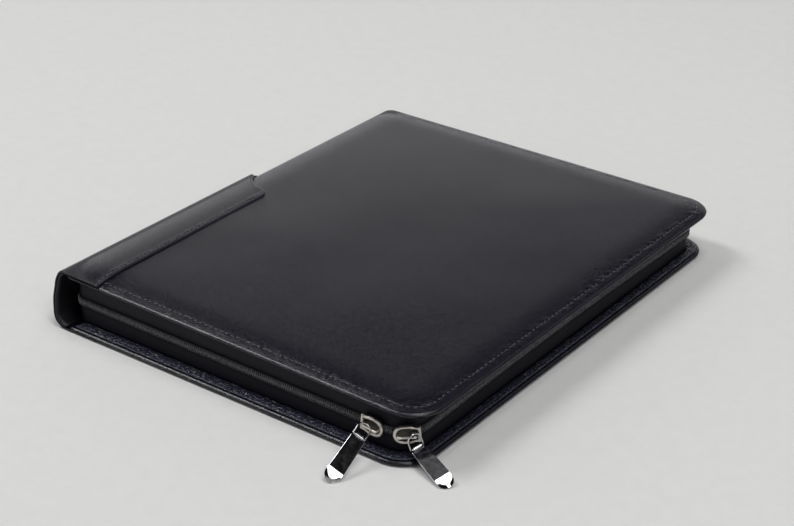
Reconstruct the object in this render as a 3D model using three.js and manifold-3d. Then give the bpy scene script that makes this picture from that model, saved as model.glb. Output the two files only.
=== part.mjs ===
// Leather document case with a zip round its edge, closed and lying flat.
//
// Two padded leather covers are joined by a zip gusset that runs round all four sides. On the front
// half of the spine side a leather wrap bends from one cover to the other and hinges them. Two
// sliders sit on the zip near one corner, each with a wire link and a metal pull tab.
//
// Millimetres. +X runs from the spine to the opening side, +Y from the front edge to the far edge
// and +Z up. The origin is on the flat underside, below the middle of the upper cover.

import * as THREE from 'three';
import { mergeVertices } from 'three/addons/utils/BufferGeometryUtils.js';
import Module from 'manifold-3d';

const wasm = await Module();
wasm.setup();

// Upper cover, seen from above, and its padding
const coverWidth = 281;
const coverLength = 340;
const coverThickness = 3.2;
const crownHeight = 2.2;
const crownReach = 24;
const crownFullness = 2.2;
const flatTopInsets = [90, 55];
const crownShares = [1, 0.66, 0.4, 0.18];

// The rim's top above the table, and how much higher it stands over the front end of the spine
const rimHeight = 34;
const spineRise = 3.8;

// The lower cover reaches further out at the front and less far at the right
const baseThickness = 3.2;
const baseFrontReach = 5;
const baseFarReach = 0.5;
const baseRightInset = 3.4;

// The gusset wall is set back from the upper cover's edges
const gussetFrontInset = 5.4;
const gussetRightInset = 12;
const gussetFarInset = 10;
const gussetSpineInset = 2.5;
const tapeThickness = 1;
const rightSideBow = 2;
const farSideBow = 1.4;

// Zip coil, and the plain panel behind the spine that closes the gap between its two ends
const coilHeight = 5.8;
const coilThickness = 1.3;
const zipStartFromFront = 40;
const zipEndFromFront = 205;
const spinePanelHeight = 15;
const spinePanelThickness = 1.2;

// Leather turned in over the covers' edges
const turnInThickness = 0.8;
const turnInEdgeInset = 2.6;

// Spine wrap: an inner leather from cover to cover and a patch sewn over it
const spineLeatherThickness = 1.4;
const patchThickness = 1.4;
const patchReach = 30;
const spineBulge = 0.8;
const spineTopRadius = 8;
const spineFootRadius = 11.5;
const spineLeatherLength = 187;

// Sliders
const sliderLength = 14;
const sliderHeight = 9;
const sliderThickness = 1.6;
const bridgeLength = 11.4;
const bridgeStandOff = 3.1;
const bridgeWidth = 1.1;
const bridgePost = 1;
const tailHeightShare = 0.86;
const tailLengthShare = 0.6;

// Wire links and pull tabs
const wireDiameter = 1.1;
const linkWidth = 8.2;
const linkLength = 9.6;
const linkBehindBridge = 2.1;
const linkCornerRadius = 1;
const tabTopWidth = 9.4;
const tabTipWidth = 10.6;
const tabLength = 31.3;
const tabThickness = 2;
const tabTongue = 1;
const barrelWidth = 5;
const barrelWall = 0.5;

// Clearance between touching pieces
const gap = 0.3;

// Corner radii in the order near right, far right, far spine, near spine
const coverRadii = [22, 22, 7, 6];
const baseRadii = [22, 22, 7, 6];
const gussetRadii = [16, 12, 8, 9];
const smallestRadius = 0.5;

// The patch's far edge: across is the share of patchReach from the cover's edge inwards, and along
// is the share of coverLength from the cover's front edge
const patchFarEdge = [
  { across: 1.0, along: 0.462 },
  { across: 0.97, along: 0.474 },
  { across: 0.9, along: 0.484 },
  { across: 0.77, along: 0.489 },
  { across: 0.61, along: 0.491 },
  { across: 0.48, along: 0.496 },
  { across: 0.3, along: 0.508 },
  { across: 0.15, along: 0.52 },
];
const patchSpineAlong = 0.541;

// How each slider sits on the zip, in degrees: round the near right turn, tipped along the wall
// and turned off it. Before is its distance before that turn, and nose is the way that it points.
const sliderPlaces = {
  front: { before: 8.5, round: 0, tip: -6, turn: 0, nose: 1 },
  corner: { before: 0, round: 42, tip: 4, turn: -6, nose: -1 },
};

// How each link hangs on its slider's bridge: along is its place on the bridge, and the angles in
// degrees are its swing about the bridge, its lean along it and its roll. Fold turns the tab on it.
const linkPlaces = {
  front: { along: -2.4, swing: 16.5, lean: 10, roll: 33, fold: 8.5 },
  corner: { along: 3.7, swing: 96, lean: 11.5, roll: 31, fold: -71 },
};

// Points along each corner and each side of an outline
const cornerSteps = 6;
const sideSteps = 6;

// Steps along the patch and along the spine leather, and how far the patch's pocket is cut past
// the lower cover's underside
const patchSteps = 12;
const spineLeatherSteps = 8;
const pocketOvercut = 1;

const materials = {
  leather: new THREE.MeshStandardMaterial({ color: 0x1d1d21, roughness: 0.42, metalness: 0 }),
  turnIn: new THREE.MeshStandardMaterial({ color: 0x1a1b20, roughness: 0.34, metalness: 0 }),
  tape: new THREE.MeshStandardMaterial({ color: 0x16161b, roughness: 0.85, metalness: 0 }),
  coil: new THREE.MeshStandardMaterial({ color: 0x1c1c21, roughness: 0.5, metalness: 0 }),
  slider: new THREE.MeshStandardMaterial({ color: 0x9b9790, roughness: 0.3, metalness: 1 }),
  pull: new THREE.MeshStandardMaterial({ color: 0xb4b4b8, roughness: 0.12, metalness: 1 }),
};

const documentCase = new THREE.Group();

// The three outlines as boxes seen from above
const coverBox = {
  left: -coverWidth / 2,
  right: coverWidth / 2,
  front: -coverLength / 2,
  far: coverLength / 2,
  radii: coverRadii,
};
const spineSide = coverBox.left - gap - spineTopRadius;
const baseBox = {
  left: spineSide + spineFootRadius + gap,
  right: coverBox.right - baseRightInset,
  front: coverBox.front - baseFrontReach,
  far: coverBox.far + baseFarReach,
  radii: baseRadii,
};
const gussetBox = {
  left: coverBox.left + gussetSpineInset,
  right: coverBox.right - gussetRightInset,
  front: coverBox.front + gussetFrontInset,
  far: coverBox.far - gussetFarInset,
  radii: gussetRadii,
};

// Height of the upper cover's rim: level, but lifted towards the front end of the spine
function rimTop(x, y) {
  const across = THREE.MathUtils.clamp((x - coverBox.left) / coverWidth, 0, 1);
  const along = THREE.MathUtils.clamp((y - coverBox.front) / coverLength, 0, 1);
  return rimHeight + spineRise * (1 - across) * (1 - along);
}

function coverUnderside(x, y) {
  return rimTop(x, y) - coverThickness;
}

// The zip runs midway between the two covers
function zipHeight(x, y) {
  return (baseThickness + coverUnderside(x, y)) / 2;
}

// The padding lifts the cover from its rolled rim to a gentle crown
function crownRise(inset) {
  const rimRadius = coverThickness / 2;
  const share = THREE.MathUtils.clamp((inset - rimRadius) / (crownReach - rimRadius), 0, 1);
  return crownHeight * (1 - (1 - share) ** crownFullness);
}

// Points round a rounded rectangle, anticlockwise from the start of its front side. Each point has
// its outward direction, the side that it is on and its share along that side.
function roundedOutline(box, inset) {
  const radii = box.radii.map((radius) => Math.max(radius - inset, smallestRadius));
  const [nearRight, farRight, farSpine, nearSpine] = radii;
  const left = box.left + inset;
  const right = box.right - inset;
  const front = box.front + inset;
  const far = box.far - inset;
  const corners = [
    { side: 'front', x: right - nearRight, y: front + nearRight, radius: nearRight, turn: -90 },
    { side: 'right', x: right - farRight, y: far - farRight, radius: farRight, turn: 0 },
    { side: 'far', x: left + farSpine, y: far - farSpine, radius: farSpine, turn: 90 },
    { side: 'spine', x: left + nearSpine, y: front + nearSpine, radius: nearSpine, turn: 180 },
  ];
  return corners.flatMap((corner, index) => {
    const before = corners.at(index - 1);
    const turn = THREE.MathUtils.degToRad(corner.turn);
    const straight = Array.from({ length: sideSteps }, (_, step) => {
      const share = step / sideSteps;
      const radius = THREE.MathUtils.lerp(before.radius, corner.radius, share);
      const outward = { x: Math.cos(turn), y: Math.sin(turn) };
      return {
        x: THREE.MathUtils.lerp(before.x, corner.x, share) + outward.x * radius,
        y: THREE.MathUtils.lerp(before.y, corner.y, share) + outward.y * radius,
        outward,
        side: corner.side,
        share,
      };
    });
    const bend = Array.from({ length: cornerSteps }, (_, step) => {
      const angle = turn + (step / cornerSteps) * (Math.PI / 2);
      const outward = { x: Math.cos(angle), y: Math.sin(angle) };
      return {
        x: corner.x + outward.x * corner.radius,
        y: corner.y + outward.y * corner.radius,
        outward,
        side: 'corner',
        share: 0,
      };
    });
    return [...straight, ...bend];
  });
}

// The gusset's outline moved outwards by an offset. Reach is 0 at a cover and 1 at the zip, where
// the long sides bow inwards.
function gussetOutline(offset, reach) {
  const bows = { front: 0, right: rightSideBow, far: farSideBow, spine: 0, corner: 0 };
  return roundedOutline(gussetBox, 0).map((point) => {
    const move = offset - bows[point.side] * reach * Math.sin(Math.PI * point.share);
    return { ...point, x: point.x + point.outward.x * move, y: point.y + point.outward.y * move };
  });
}

function ring(outline, height) {
  return outline.map((point) => [point.x, point.y, height(point.x, point.y)]);
}

function geometryFrom(positions, indices) {
  const geometry = new THREE.BufferGeometry();
  geometry.setAttribute('position', new THREE.Float32BufferAttribute(positions.flat(), 3));
  geometry.setIndex(indices);
  return geometry;
}

// Rings of equal length made into one closed body. They run anticlockwise, seen from the last one.
// The last ring is joined to the first, or else both ends are capped by fans.
function ringSolid(rings, looped) {
  const count = rings[0].length;
  const positions = rings.flat();
  const indices = [];
  const bands = looped ? rings.length : rings.length - 1;
  for (let band = 0; band < bands; band += 1) {
    const start = band * count;
    const next = ((band + 1) % rings.length) * count;
    for (let step = 0; step < count; step += 1) {
      const after = (step + 1) % count;
      indices.push(start + step, start + after, next + after);
      indices.push(start + step, next + after, next + step);
    }
  }
  const addCap = (ringIndex, facesUp) => {
    const start = ringIndex * count;
    const middle = positions.length;
    const total = (axis) => rings[ringIndex].reduce((sum, point) => sum + point[axis], 0);
    positions.push([0, 1, 2].map((axis) => total(axis) / count));
    for (let step = 0; step < count; step += 1) {
      const edge = [start + step, start + ((step + 1) % count)];
      indices.push(...(facesUp ? edge : edge.reverse()), middle);
    }
  };
  if (!looped) {
    addCap(0, false);
    addCap(rings.length - 1, true);
  }
  return geometryFrom(positions, indices);
}

// Two grids of equal size, the outer and the inner face of a bent sheet, joined round their edges.
// Seen from outside, the way from a row to the next lies clockwise of the way along the row.
function sheetSolid(outer, inner) {
  const rows = outer.length;
  const columns = outer[0].length;
  const positions = [...outer.flat(), ...inner.flat()];
  const under = rows * columns;
  const at = (row, column) => row * columns + column;
  const indices = [];
  const addQuad = (a, b, c, d) => indices.push(a, b, c, a, c, d);
  for (let row = 0; row < rows - 1; row += 1) {
    for (let column = 0; column < columns - 1; column += 1) {
      const face = [at(row, column), at(row, column + 1), at(row + 1, column + 1), at(row + 1, column)];
      addQuad(...face.toReversed());
      addQuad(...face.map((index) => index + under));
    }
  }
  const border = [
    ...Array.from({ length: columns - 1 }, (_, step) => at(0, step)),
    ...Array.from({ length: rows - 1 }, (_, step) => at(step, columns - 1)),
    ...Array.from({ length: columns - 1 }, (_, step) => at(rows - 1, columns - 1 - step)),
    ...Array.from({ length: rows - 1 }, (_, step) => at(rows - 1 - step, 0)),
  ];
  border.forEach((index, step) => {
    const after = border[(step + 1) % border.length];
    addQuad(index, after, after + under, index + under);
  });
  return geometryFrom(positions, indices);
}

function toManifold(geometry) {
  const bare = new THREE.BufferGeometry();
  bare.setAttribute('position', geometry.getAttribute('position'));
  bare.setIndex(geometry.getIndex());
  const merged = mergeVertices(bare, 1e-4);
  const mesh = new wasm.Mesh({
    numProp: 3,
    vertProperties: new Float32Array(merged.getAttribute('position').array),
    triVerts: new Uint32Array(merged.getIndex().array),
  });
  return new wasm.Manifold(mesh);
}

function fromManifold(solid) {
  const mesh = solid.getMesh();
  const geometry = new THREE.BufferGeometry();
  geometry.setAttribute('position', new THREE.BufferAttribute(new Float32Array(mesh.vertProperties), 3));
  geometry.setIndex(new THREE.BufferAttribute(new Uint32Array(mesh.triVerts), 1));
  return geometry;
}

function addMesh(parent, name, geometry, material) {
  const mesh = new THREE.Mesh(geometry, material);
  mesh.name = name;
  parent.add(mesh);
}

// Half circle of a cover's rolled edge, from its underside to its top
function rolledEdge(thickness) {
  const steps = 4;
  const radius = thickness / 2;
  return Array.from({ length: steps + 1 }, (_, step) => {
    const angle = Math.PI * (step / steps - 0.5);
    return { inset: radius * (1 - Math.cos(angle)), rise: radius * (Math.sin(angle) - 1) };
  });
}

// Upper cover: crowned on top, hollow below with the same crown, and rolled at its rim
function upperCover() {
  const crownInsets = [...flatTopInsets, ...crownShares.map((share) => share * crownReach)];
  const below = crownInsets.map((inset) => (
    ring(roundedOutline(coverBox, inset), (x, y) => coverUnderside(x, y) + crownRise(inset))
  ));
  const rim = rolledEdge(coverThickness).map(({ inset, rise }) => (
    ring(roundedOutline(coverBox, inset), (x, y) => rimTop(x, y) + rise)
  ));
  const above = [...crownInsets].reverse().map((inset) => (
    ring(roundedOutline(coverBox, inset), (x, y) => rimTop(x, y) + crownRise(inset))
  ));
  return ringSolid([...below, ...rim, ...above], false);
}

// Leather strip on a cover's inner face, from near its edge to the foot of the gusset, round the
// front, right and far sides
function turnIn(box, height) {
  const lastStep = 3 * (sideSteps + cornerSteps) - cornerSteps;
  const outer = roundedOutline(box, turnInEdgeInset).slice(0, lastStep + 1);
  const inner = gussetOutline(gap, 0).slice(0, lastStep + 1);
  const face = (rise) => outer.map((point, step) => (
    [point, inner[step]].map(({ x, y }) => [x, y, height(x, y) + rise])
  ));
  return sheetSolid(face(turnInThickness), face(0));
}

// One zip tape: a thin wall through three levels from below, bowed where it lies behind the coil
function zipTape(levels) {
  const wall = (offset) => levels.map(({ reach, height }) => ring(gussetOutline(offset, reach), height));
  return ringSolid([...wall(0), ...wall(-tapeThickness).reverse()], true);
}

// An upright strip along the gusset's wall, between two offsets from it
function wallStrip(path, offsetIn, offsetOut, height) {
  const sections = path.map((point) => {
    const level = zipHeight(point.x, point.y);
    const corner = (offset, side) => [
      point.x + point.outward.x * offset,
      point.y + point.outward.y * offset,
      level + (side * height) / 2,
    ];
    return [corner(offsetIn, -1), corner(offsetIn, 1), corner(offsetOut, 1), corner(offsetOut, -1)];
  });
  return ringSolid(sections, false);
}

// A point on the gusset's spine side
function spineWallPoint(fromFront) {
  return { x: gussetBox.left, y: coverBox.front + fromFront, outward: { x: -1, y: 0 } };
}

// The zip starts behind the spine, turns the near corner, runs round the case and ends on the
// spine side again, beyond the wrap
function zipPath() {
  const outline = gussetOutline(0, 1);
  const spineStart = 3 * (sideSteps + cornerSteps);
  const roundCase = outline.slice(0, spineStart + 1);
  const nearTurn = outline.slice(spineStart + sideSteps);
  return [spineWallPoint(zipStartFromFront), ...nearTurn, ...roundCase, spineWallPoint(zipEndFromFront)];
}

function spinePanelPath() {
  return [zipEndFromFront - gap, zipStartFromFront + gap].map(spineWallPoint);
}

// Section of the spine wrap at one place along it, from the seam on the upper cover over the spine
// to the seam under the lower cover. Depth is measured inwards from the patch's outer face.
function spineSection(depth, y, withFlaps) {
  const edge = coverBox.left;
  const topLevel = rimTop(edge, y) + gap + patchThickness;
  const topCentre = { x: spineSide + spineTopRadius, z: topLevel - spineTopRadius };
  const footCentre = { x: spineSide + spineFootRadius, z: spineFootRadius };
  const arcSteps = 5;
  const arc = (centre, radius, fromAngle) => Array.from({ length: arcSteps + 1 }, (_, step) => {
    const angle = fromAngle + (Math.PI / 2) * (step / arcSteps);
    return {
      x: centre.x + (radius - depth) * Math.cos(angle),
      z: centre.z + (radius - depth) * Math.sin(angle),
      along: patchSpineAlong,
    };
  });
  const side = [1 / 3, 2 / 3].map((share) => ({
    x: spineSide + depth - spineBulge * Math.sin(Math.PI * share),
    z: THREE.MathUtils.lerp(topCentre.z, footCentre.z, share),
    along: patchSpineAlong,
  }));
  const bend = [
    ...arc(topCentre, spineTopRadius, Math.PI / 2),
    ...side,
    ...arc(footCentre, spineFootRadius, Math.PI),
  ];
  if (!withFlaps) {
    return bend;
  }
  const upperFlap = patchFarEdge.map(({ across, along }) => {
    const x = edge + across * patchReach;
    return { x, z: rimTop(x, y) + crownRise(across * patchReach) + gap + patchThickness - depth, along };
  });
  const lowerFlap = patchFarEdge.map(({ across, along }) => (
    { x: edge + across * patchReach, z: depth, along }
  ));
  return [...upperFlap, ...bend, ...lowerFlap.filter(({ x }) => x > footCentre.x + gap).reverse()];
}

// A bent sheet along the spine. Its front end follows the covers' front edges, from the upper one
// down to the lower one, and grow moves both ends outwards.
function spineSheet(outerDepth, innerDepth, lengthSteps, withFlaps, length, grow) {
  const guide = spineSection(0, coverBox.front, withFlaps);
  const face = (depth) => Array.from({ length: lengthSteps + 1 }, (_, step) => (
    guide.map((place, index) => {
      const down = THREE.MathUtils.clamp(1 - place.z / rimHeight, 0, 1);
      const start = coverBox.front - down * baseFrontReach - grow;
      const end = coverBox.front + length(place) + grow;
      const y = THREE.MathUtils.lerp(start, end, step / lengthSteps);
      const { x, z } = spineSection(depth, y, withFlaps)[index];
      return [x, y, z];
    })
  ));
  return sheetSolid(face(outerDepth), face(innerDepth));
}

// Slider: a plate with a round nose and a square tail over the coil, and a bridge in front of it.
// Its own frame has X along the zip, Y up and Z outwards, with Z = 0 on the plate's back.
function sliderGeometry(nose) {
  const half = sliderHeight / 2;
  const tailHalf = half * tailHeightShare;
  const tailEnd = -sliderLength / 2 + half * tailLengthShare;
  const noseCentre = sliderLength / 2 - half;
  const plate = new THREE.Shape();
  plate.moveTo(-sliderLength / 2, -tailHalf);
  plate.lineTo(tailEnd, -tailHalf);
  plate.lineTo(-sliderLength / 2 + half, -half);
  plate.lineTo(noseCentre, -half);
  plate.absarc(noseCentre, 0, half, -Math.PI / 2, Math.PI / 2, false);
  plate.lineTo(-sliderLength / 2 + half, half);
  plate.lineTo(tailEnd, tailHalf);
  plate.lineTo(-sliderLength / 2, tailHalf);
  plate.closePath();
  const plateBody = toManifold(new THREE.ExtrudeGeometry(plate, {
    depth: sliderThickness,
    bevelEnabled: false,
    curveSegments: 8,
  }));
  const outside = bridgeLength / 2;
  const inside = outside - bridgePost;
  const root = sliderThickness / 2;
  const barOutside = sliderThickness + bridgeStandOff + bridgeWidth / 2;
  const barInside = barOutside - bridgeWidth;
  const bridge = new THREE.Shape();
  bridge.moveTo(-outside, root);
  bridge.lineTo(-inside, root);
  bridge.lineTo(-inside, barInside);
  bridge.lineTo(inside, barInside);
  bridge.lineTo(inside, root);
  bridge.lineTo(outside, root);
  bridge.lineTo(outside, barOutside - bridgePost / 2);
  bridge.lineTo(outside - bridgePost / 2, barOutside);
  bridge.lineTo(-outside + bridgePost / 2, barOutside);
  bridge.lineTo(-outside, barOutside - bridgePost / 2);
  bridge.closePath();
  const bridgeGeometry = new THREE.ExtrudeGeometry(bridge, { depth: bridgeWidth, bevelEnabled: false });
  bridgeGeometry.translate(0, 0, -bridgeWidth / 2);
  bridgeGeometry.rotateX(Math.PI / 2);
  const slider = plateBody.add(toManifold(bridgeGeometry));
  return fromManifold(nose > 0 ? slider : slider.rotate([0, 0, 180]));
}

// Wire link: a closed D with its straight side on X through the origin and its round end up Y
function linkGeometry() {
  const half = linkWidth / 2;
  const arc = (x, y, radius, from, to, steps) => Array.from({ length: steps + 1 }, (_, step) => {
    const angle = THREE.MathUtils.degToRad(THREE.MathUtils.lerp(from, to, step / steps));
    return {
      x: x + radius * Math.cos(angle),
      y: y + radius * Math.sin(angle),
      outward: { x: Math.cos(angle), y: Math.sin(angle) },
    };
  });
  const path = [
    ...arc(-half + linkCornerRadius, linkCornerRadius, linkCornerRadius, 180, 270, 3),
    ...arc(half - linkCornerRadius, linkCornerRadius, linkCornerRadius, 270, 360, 3),
    ...arc(0, linkLength - half, half, 0, 180, 12),
  ];
  const sides = 6;
  const sections = path.map((point) => Array.from({ length: sides }, (_, step) => {
    const angle = (2 * Math.PI * (step + 0.5)) / sides;
    const reach = (wireDiameter / 2) * Math.cos(angle);
    return [
      point.x + point.outward.x * reach,
      point.y + point.outward.y * reach,
      -(wireDiameter / 2) * Math.sin(angle),
    ];
  }));
  return ringSolid(sections, true);
}

// Pull tab: a plate that widens to a round tip, hung on the link by a narrow barrel. Its own frame
// has X along the link's straight side and the tab down -Y, with its face towards +Z.
function tabGeometry() {
  const barrelRadius = wireDiameter / 2 + gap + barrelWall;
  const top = -barrelRadius - gap;
  const tipRadius = tabTipWidth / 2;
  const outline = new THREE.Shape();
  outline.moveTo(-tabTopWidth / 2, top);
  outline.lineTo(-tipRadius, -tabLength + tipRadius);
  outline.absellipse(0, -tabLength + tipRadius, tipRadius, tipRadius, Math.PI, 2 * Math.PI, false);
  outline.lineTo(tabTopWidth / 2, top);
  outline.closePath();
  const extrude = (shape, depth, curveSegments) => (
    new THREE.ExtrudeGeometry(shape, { depth, bevelEnabled: false, curveSegments })
  );
  const plate = extrude(outline, tabThickness, 8);
  plate.translate(0, 0, -tabThickness / 2);
  const tongueOverlap = gap;
  const tongueLength = barrelRadius + gap + tongueOverlap;
  const tongue = new THREE.BoxGeometry(barrelWidth, tongueLength, tabTongue);
  tongue.translate(0, top - tongueOverlap + tongueLength / 2, (tabTongue - tabThickness) / 2);
  const eye = new THREE.Shape();
  eye.absarc(0, 0, barrelRadius, 0, 2 * Math.PI, false);
  const barrel = extrude(eye, barrelWidth, 7);
  barrel.translate(0, 0, -barrelWidth / 2);
  barrel.rotateY(Math.PI / 2);
  const bore = new THREE.Shape();
  bore.absarc(0, 0, wireDiameter / 2 + gap, 0, 2 * Math.PI, false);
  const hole = extrude(bore, 2 * barrelWidth, 6);
  hole.translate(0, 0, -barrelWidth);
  hole.rotateY(Math.PI / 2);
  const hung = toManifold(plate).add(toManifold(tongue)).add(toManifold(barrel));
  return fromManifold(hung.subtract(toManifold(hole)));
}

// Covers
const patchLength = ({ along }) => along * coverLength;
const pocket = spineSheet(-pocketOvercut, patchThickness + gap, patchSteps, true, patchLength, gap);
const lowerRings = rolledEdge(baseThickness).map(({ inset, rise }) => (
  ring(roundedOutline(baseBox, inset), () => baseThickness + rise)
));
const lowerCover = toManifold(ringSolid(lowerRings, false)).subtract(toManifold(pocket));
addMesh(documentCase, 'top_cover', upperCover(), materials.leather);
addMesh(documentCase, 'bottom_cover', fromManifold(lowerCover), materials.leather);

// Turned-in leather
const upperTurnInLevel = (x, y) => coverUnderside(x, y) - gap - turnInThickness;
addMesh(documentCase, 'top_turn_in', turnIn(coverBox, upperTurnInLevel), materials.turnIn);
addMesh(documentCase, 'bottom_turn_in', turnIn(baseBox, () => baseThickness + gap), materials.turnIn);

// Spine wrap
const patch = spineSheet(0, patchThickness, patchSteps, true, patchLength, 0);
const leatherFace = patchThickness + gap;
const leatherBack = leatherFace + spineLeatherThickness;
const leatherLength = () => spineLeatherLength;
const spineLeather = spineSheet(leatherFace, leatherBack, spineLeatherSteps, false, leatherLength, 0);
addMesh(documentCase, 'spine_patch', patch, materials.leather);
addMesh(documentCase, 'spine_leather', spineLeather, materials.leather);

// Zip gusset
const coilEdge = coilHeight / 2 + gap;
const lowerTape = zipTape([
  { reach: 0, height: () => baseThickness + gap },
  { reach: 1, height: (x, y) => zipHeight(x, y) - coilEdge },
  { reach: 1, height: (x, y) => zipHeight(x, y) - gap / 2 },
]);
const upperTape = zipTape([
  { reach: 1, height: (x, y) => zipHeight(x, y) + gap / 2 },
  { reach: 1, height: (x, y) => zipHeight(x, y) + coilEdge },
  { reach: 0, height: (x, y) => coverUnderside(x, y) - gap },
]);
const coil = wallStrip(zipPath(), gap, gap + coilThickness, coilHeight);
const spinePanel = wallStrip(spinePanelPath(), gap, gap + spinePanelThickness, spinePanelHeight);
addMesh(documentCase, 'zip_tape_upper', upperTape, materials.tape);
addMesh(documentCase, 'zip_tape_lower', lowerTape, materials.tape);
addMesh(documentCase, 'zip_coil', coil, materials.coil);
addMesh(documentCase, 'spine_panel', spinePanel, materials.tape);

// Sliders with their links and tabs. Each slider's group stands on the zip with X along it, Y up
// and Z outwards, and its link's group turns about the bridge.
const sliderBack = gap + coilThickness + gap;
const turnRadius = gussetRadii[0];
const turnCentre = { x: gussetBox.right - turnRadius, y: gussetBox.front + turnRadius };
for (const [name, place] of Object.entries(sliderPlaces)) {
  const outward = THREE.MathUtils.degToRad(place.round - 90);
  const reach = turnRadius + sliderBack;
  const stand = new THREE.Group();
  stand.position.set(
    turnCentre.x - place.before + reach * Math.cos(outward),
    turnCentre.y + reach * Math.sin(outward),
    zipHeight(turnCentre.x, turnCentre.y),
  );
  stand.rotation.set(Math.PI / 2, 0, THREE.MathUtils.degToRad(place.round + place.turn), 'ZYX');
  documentCase.add(stand);
  const seat = new THREE.Group();
  seat.rotation.z = THREE.MathUtils.degToRad(place.tip);
  stand.add(seat);
  addMesh(seat, `slider_${name}`, sliderGeometry(place.nose), materials.slider);

  const hang = linkPlaces[name];
  const hinge = new THREE.Group();
  hinge.position.set(hang.along, 0, sliderThickness + bridgeStandOff);
  hinge.rotation.set(...[hang.swing, hang.lean, -hang.roll].map(THREE.MathUtils.degToRad));
  seat.add(hinge);
  const linkFrame = new THREE.Group();
  linkFrame.rotation.x = -Math.PI / 2;
  linkFrame.position.z = linkLength - linkBehindBridge;
  hinge.add(linkFrame);
  addMesh(linkFrame, `link_${name}`, linkGeometry(), materials.pull);
  const tabFrame = new THREE.Group();
  tabFrame.rotation.x = THREE.MathUtils.degToRad(hang.fold);
  linkFrame.add(tabFrame);
  addMesh(tabFrame, `tab_${name}`, tabGeometry(), materials.pull);
}

export default documentCase;
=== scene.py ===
# %% [markdown]
# # A leather document case
# The case lies closed on a table. Two padded covers of black leather are joined by a zip gusset on
# all four sides and by a leather wrap on the front half of the spine. This lesson dresses the
# imported frame in leather, thread, nylon and metal. The frame gives every piece its place, so the
# first step is to load it.

# %% Load the frame
import math

import bmesh
import bpy
import numpy as np
from mathutils import Matrix, Vector


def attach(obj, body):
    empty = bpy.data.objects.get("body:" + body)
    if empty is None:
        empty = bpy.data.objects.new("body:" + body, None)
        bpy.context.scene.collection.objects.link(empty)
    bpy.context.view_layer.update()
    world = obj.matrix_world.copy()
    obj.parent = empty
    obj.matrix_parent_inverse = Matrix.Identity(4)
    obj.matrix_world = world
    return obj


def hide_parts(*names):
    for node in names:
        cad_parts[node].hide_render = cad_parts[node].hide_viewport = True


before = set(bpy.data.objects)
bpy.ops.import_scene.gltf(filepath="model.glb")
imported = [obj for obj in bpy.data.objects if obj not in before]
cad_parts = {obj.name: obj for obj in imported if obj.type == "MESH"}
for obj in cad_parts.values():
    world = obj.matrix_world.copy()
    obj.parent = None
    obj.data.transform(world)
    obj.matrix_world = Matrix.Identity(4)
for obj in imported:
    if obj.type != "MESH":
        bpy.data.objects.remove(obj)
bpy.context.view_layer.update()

# %% [markdown]
# ## The camera
# A camera could be moved about by eye until the picture looks right. Here its place and its three
# directions come from the straight edges of the covers, so the render can be compared with the
# real object point by point. Blender's camera looks along its own -Z with +Y up.

# %% The camera
CAMERA_PLACE = (0.6577, -0.8739, 0.5987)
CAMERA_RIGHT = Vector((0.79815, 0.60244, -0.00412))
CAMERA_DOWN = Vector((0.27979, -0.37673, -0.88306))
CAMERA_FORWARD = Vector((-0.53354, 0.70366, -0.46925))
LENS, SENSOR_WIDTH = 85.1, 36


def make_camera():
    """A camera whose axes are the picture's right, up and backward directions."""
    data = bpy.data.cameras.new("camera")
    data.lens, data.sensor_width = LENS, SENSOR_WIDTH
    camera = bpy.data.objects.new("camera", data)
    axes = Matrix((CAMERA_RIGHT, -CAMERA_DOWN, -CAMERA_FORWARD)).transposed()
    camera.matrix_world = Matrix.Translation(CAMERA_PLACE) @ axes.to_4x4()
    bpy.context.scene.collection.objects.link(camera)
    bpy.context.scene.camera = camera


make_camera()
print("camera at", CAMERA_PLACE)

# %% [markdown]
# ## Sizes
# Every size is in millimetres and is named once. They are the sizes of the solids in the frame, so
# a new surface lies where the solid is. Three rounded rectangles, seen from above, carry nearly
# everything: the upper cover, the lower cover and the gusset wall between them.

# %% Sizes
MM = 0.001
COVER_WIDTH, COVER_LENGTH, COVER_THICKNESS = 281.0, 340.0, 3.2
CROWN_HEIGHT, CROWN_REACH, CROWN_FULLNESS = 2.2, 24.0, 2.2
RIM_HEIGHT, SPINE_RISE, BASE_THICKNESS = 34.0, 3.8, 3.2
GAP = 0.3
SPINE_TOP_RADIUS, SPINE_TOP_DROP, SPINE_FOOT_RADIUS, SPINE_BULGE = 8.0, 12.5, 11.5, 0.8
PATCH_THICKNESS, PATCH_REACH, SPINE_LEATHER_THICKNESS = 1.4, 30.0, 1.4
COIL_HEIGHT, COIL_THICKNESS = 5.8, 1.3
TAPE_THICKNESS, TURN_IN_THICKNESS, TURN_IN_INSET = 1.0, 0.8, 2.6
FRONT_STEP = 5.0

COVER = dict(left=-COVER_WIDTH / 2, right=COVER_WIDTH / 2, front=-COVER_LENGTH / 2,
             far=COVER_LENGTH / 2, radii=(22.0, 22.0, 7.0, 6.0))
SPINE_SIDE = COVER["left"] - GAP - SPINE_TOP_RADIUS
BASE = dict(left=SPINE_SIDE + SPINE_FOOT_RADIUS + GAP, right=COVER["right"] - 3.4,
            front=COVER["front"] - FRONT_STEP, far=COVER["far"] + 0.5, radii=(22.0, 22.0, 7.0, 6.0))
GUSSET = dict(left=COVER["left"] + 2.5, right=COVER["right"] - 12.0,
              front=COVER["front"] + 5.4, far=COVER["far"] - 10.0, radii=(16.0, 12.0, 8.0, 9.0))
print("spine side at", SPINE_SIDE, "mm")

# %% [markdown]
# ## Outlines and heights
# A rounded rectangle could be drawn as a curve and turned into a mesh. Worked out with numpy, one
# call gives the same points for many insets at once, so a whole cover is a single grid: its rows
# are insets from the edge and its columns run round it.

# %% Outlines and heights
TURNS = np.radians([-90, 0, 90, 180])


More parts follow.
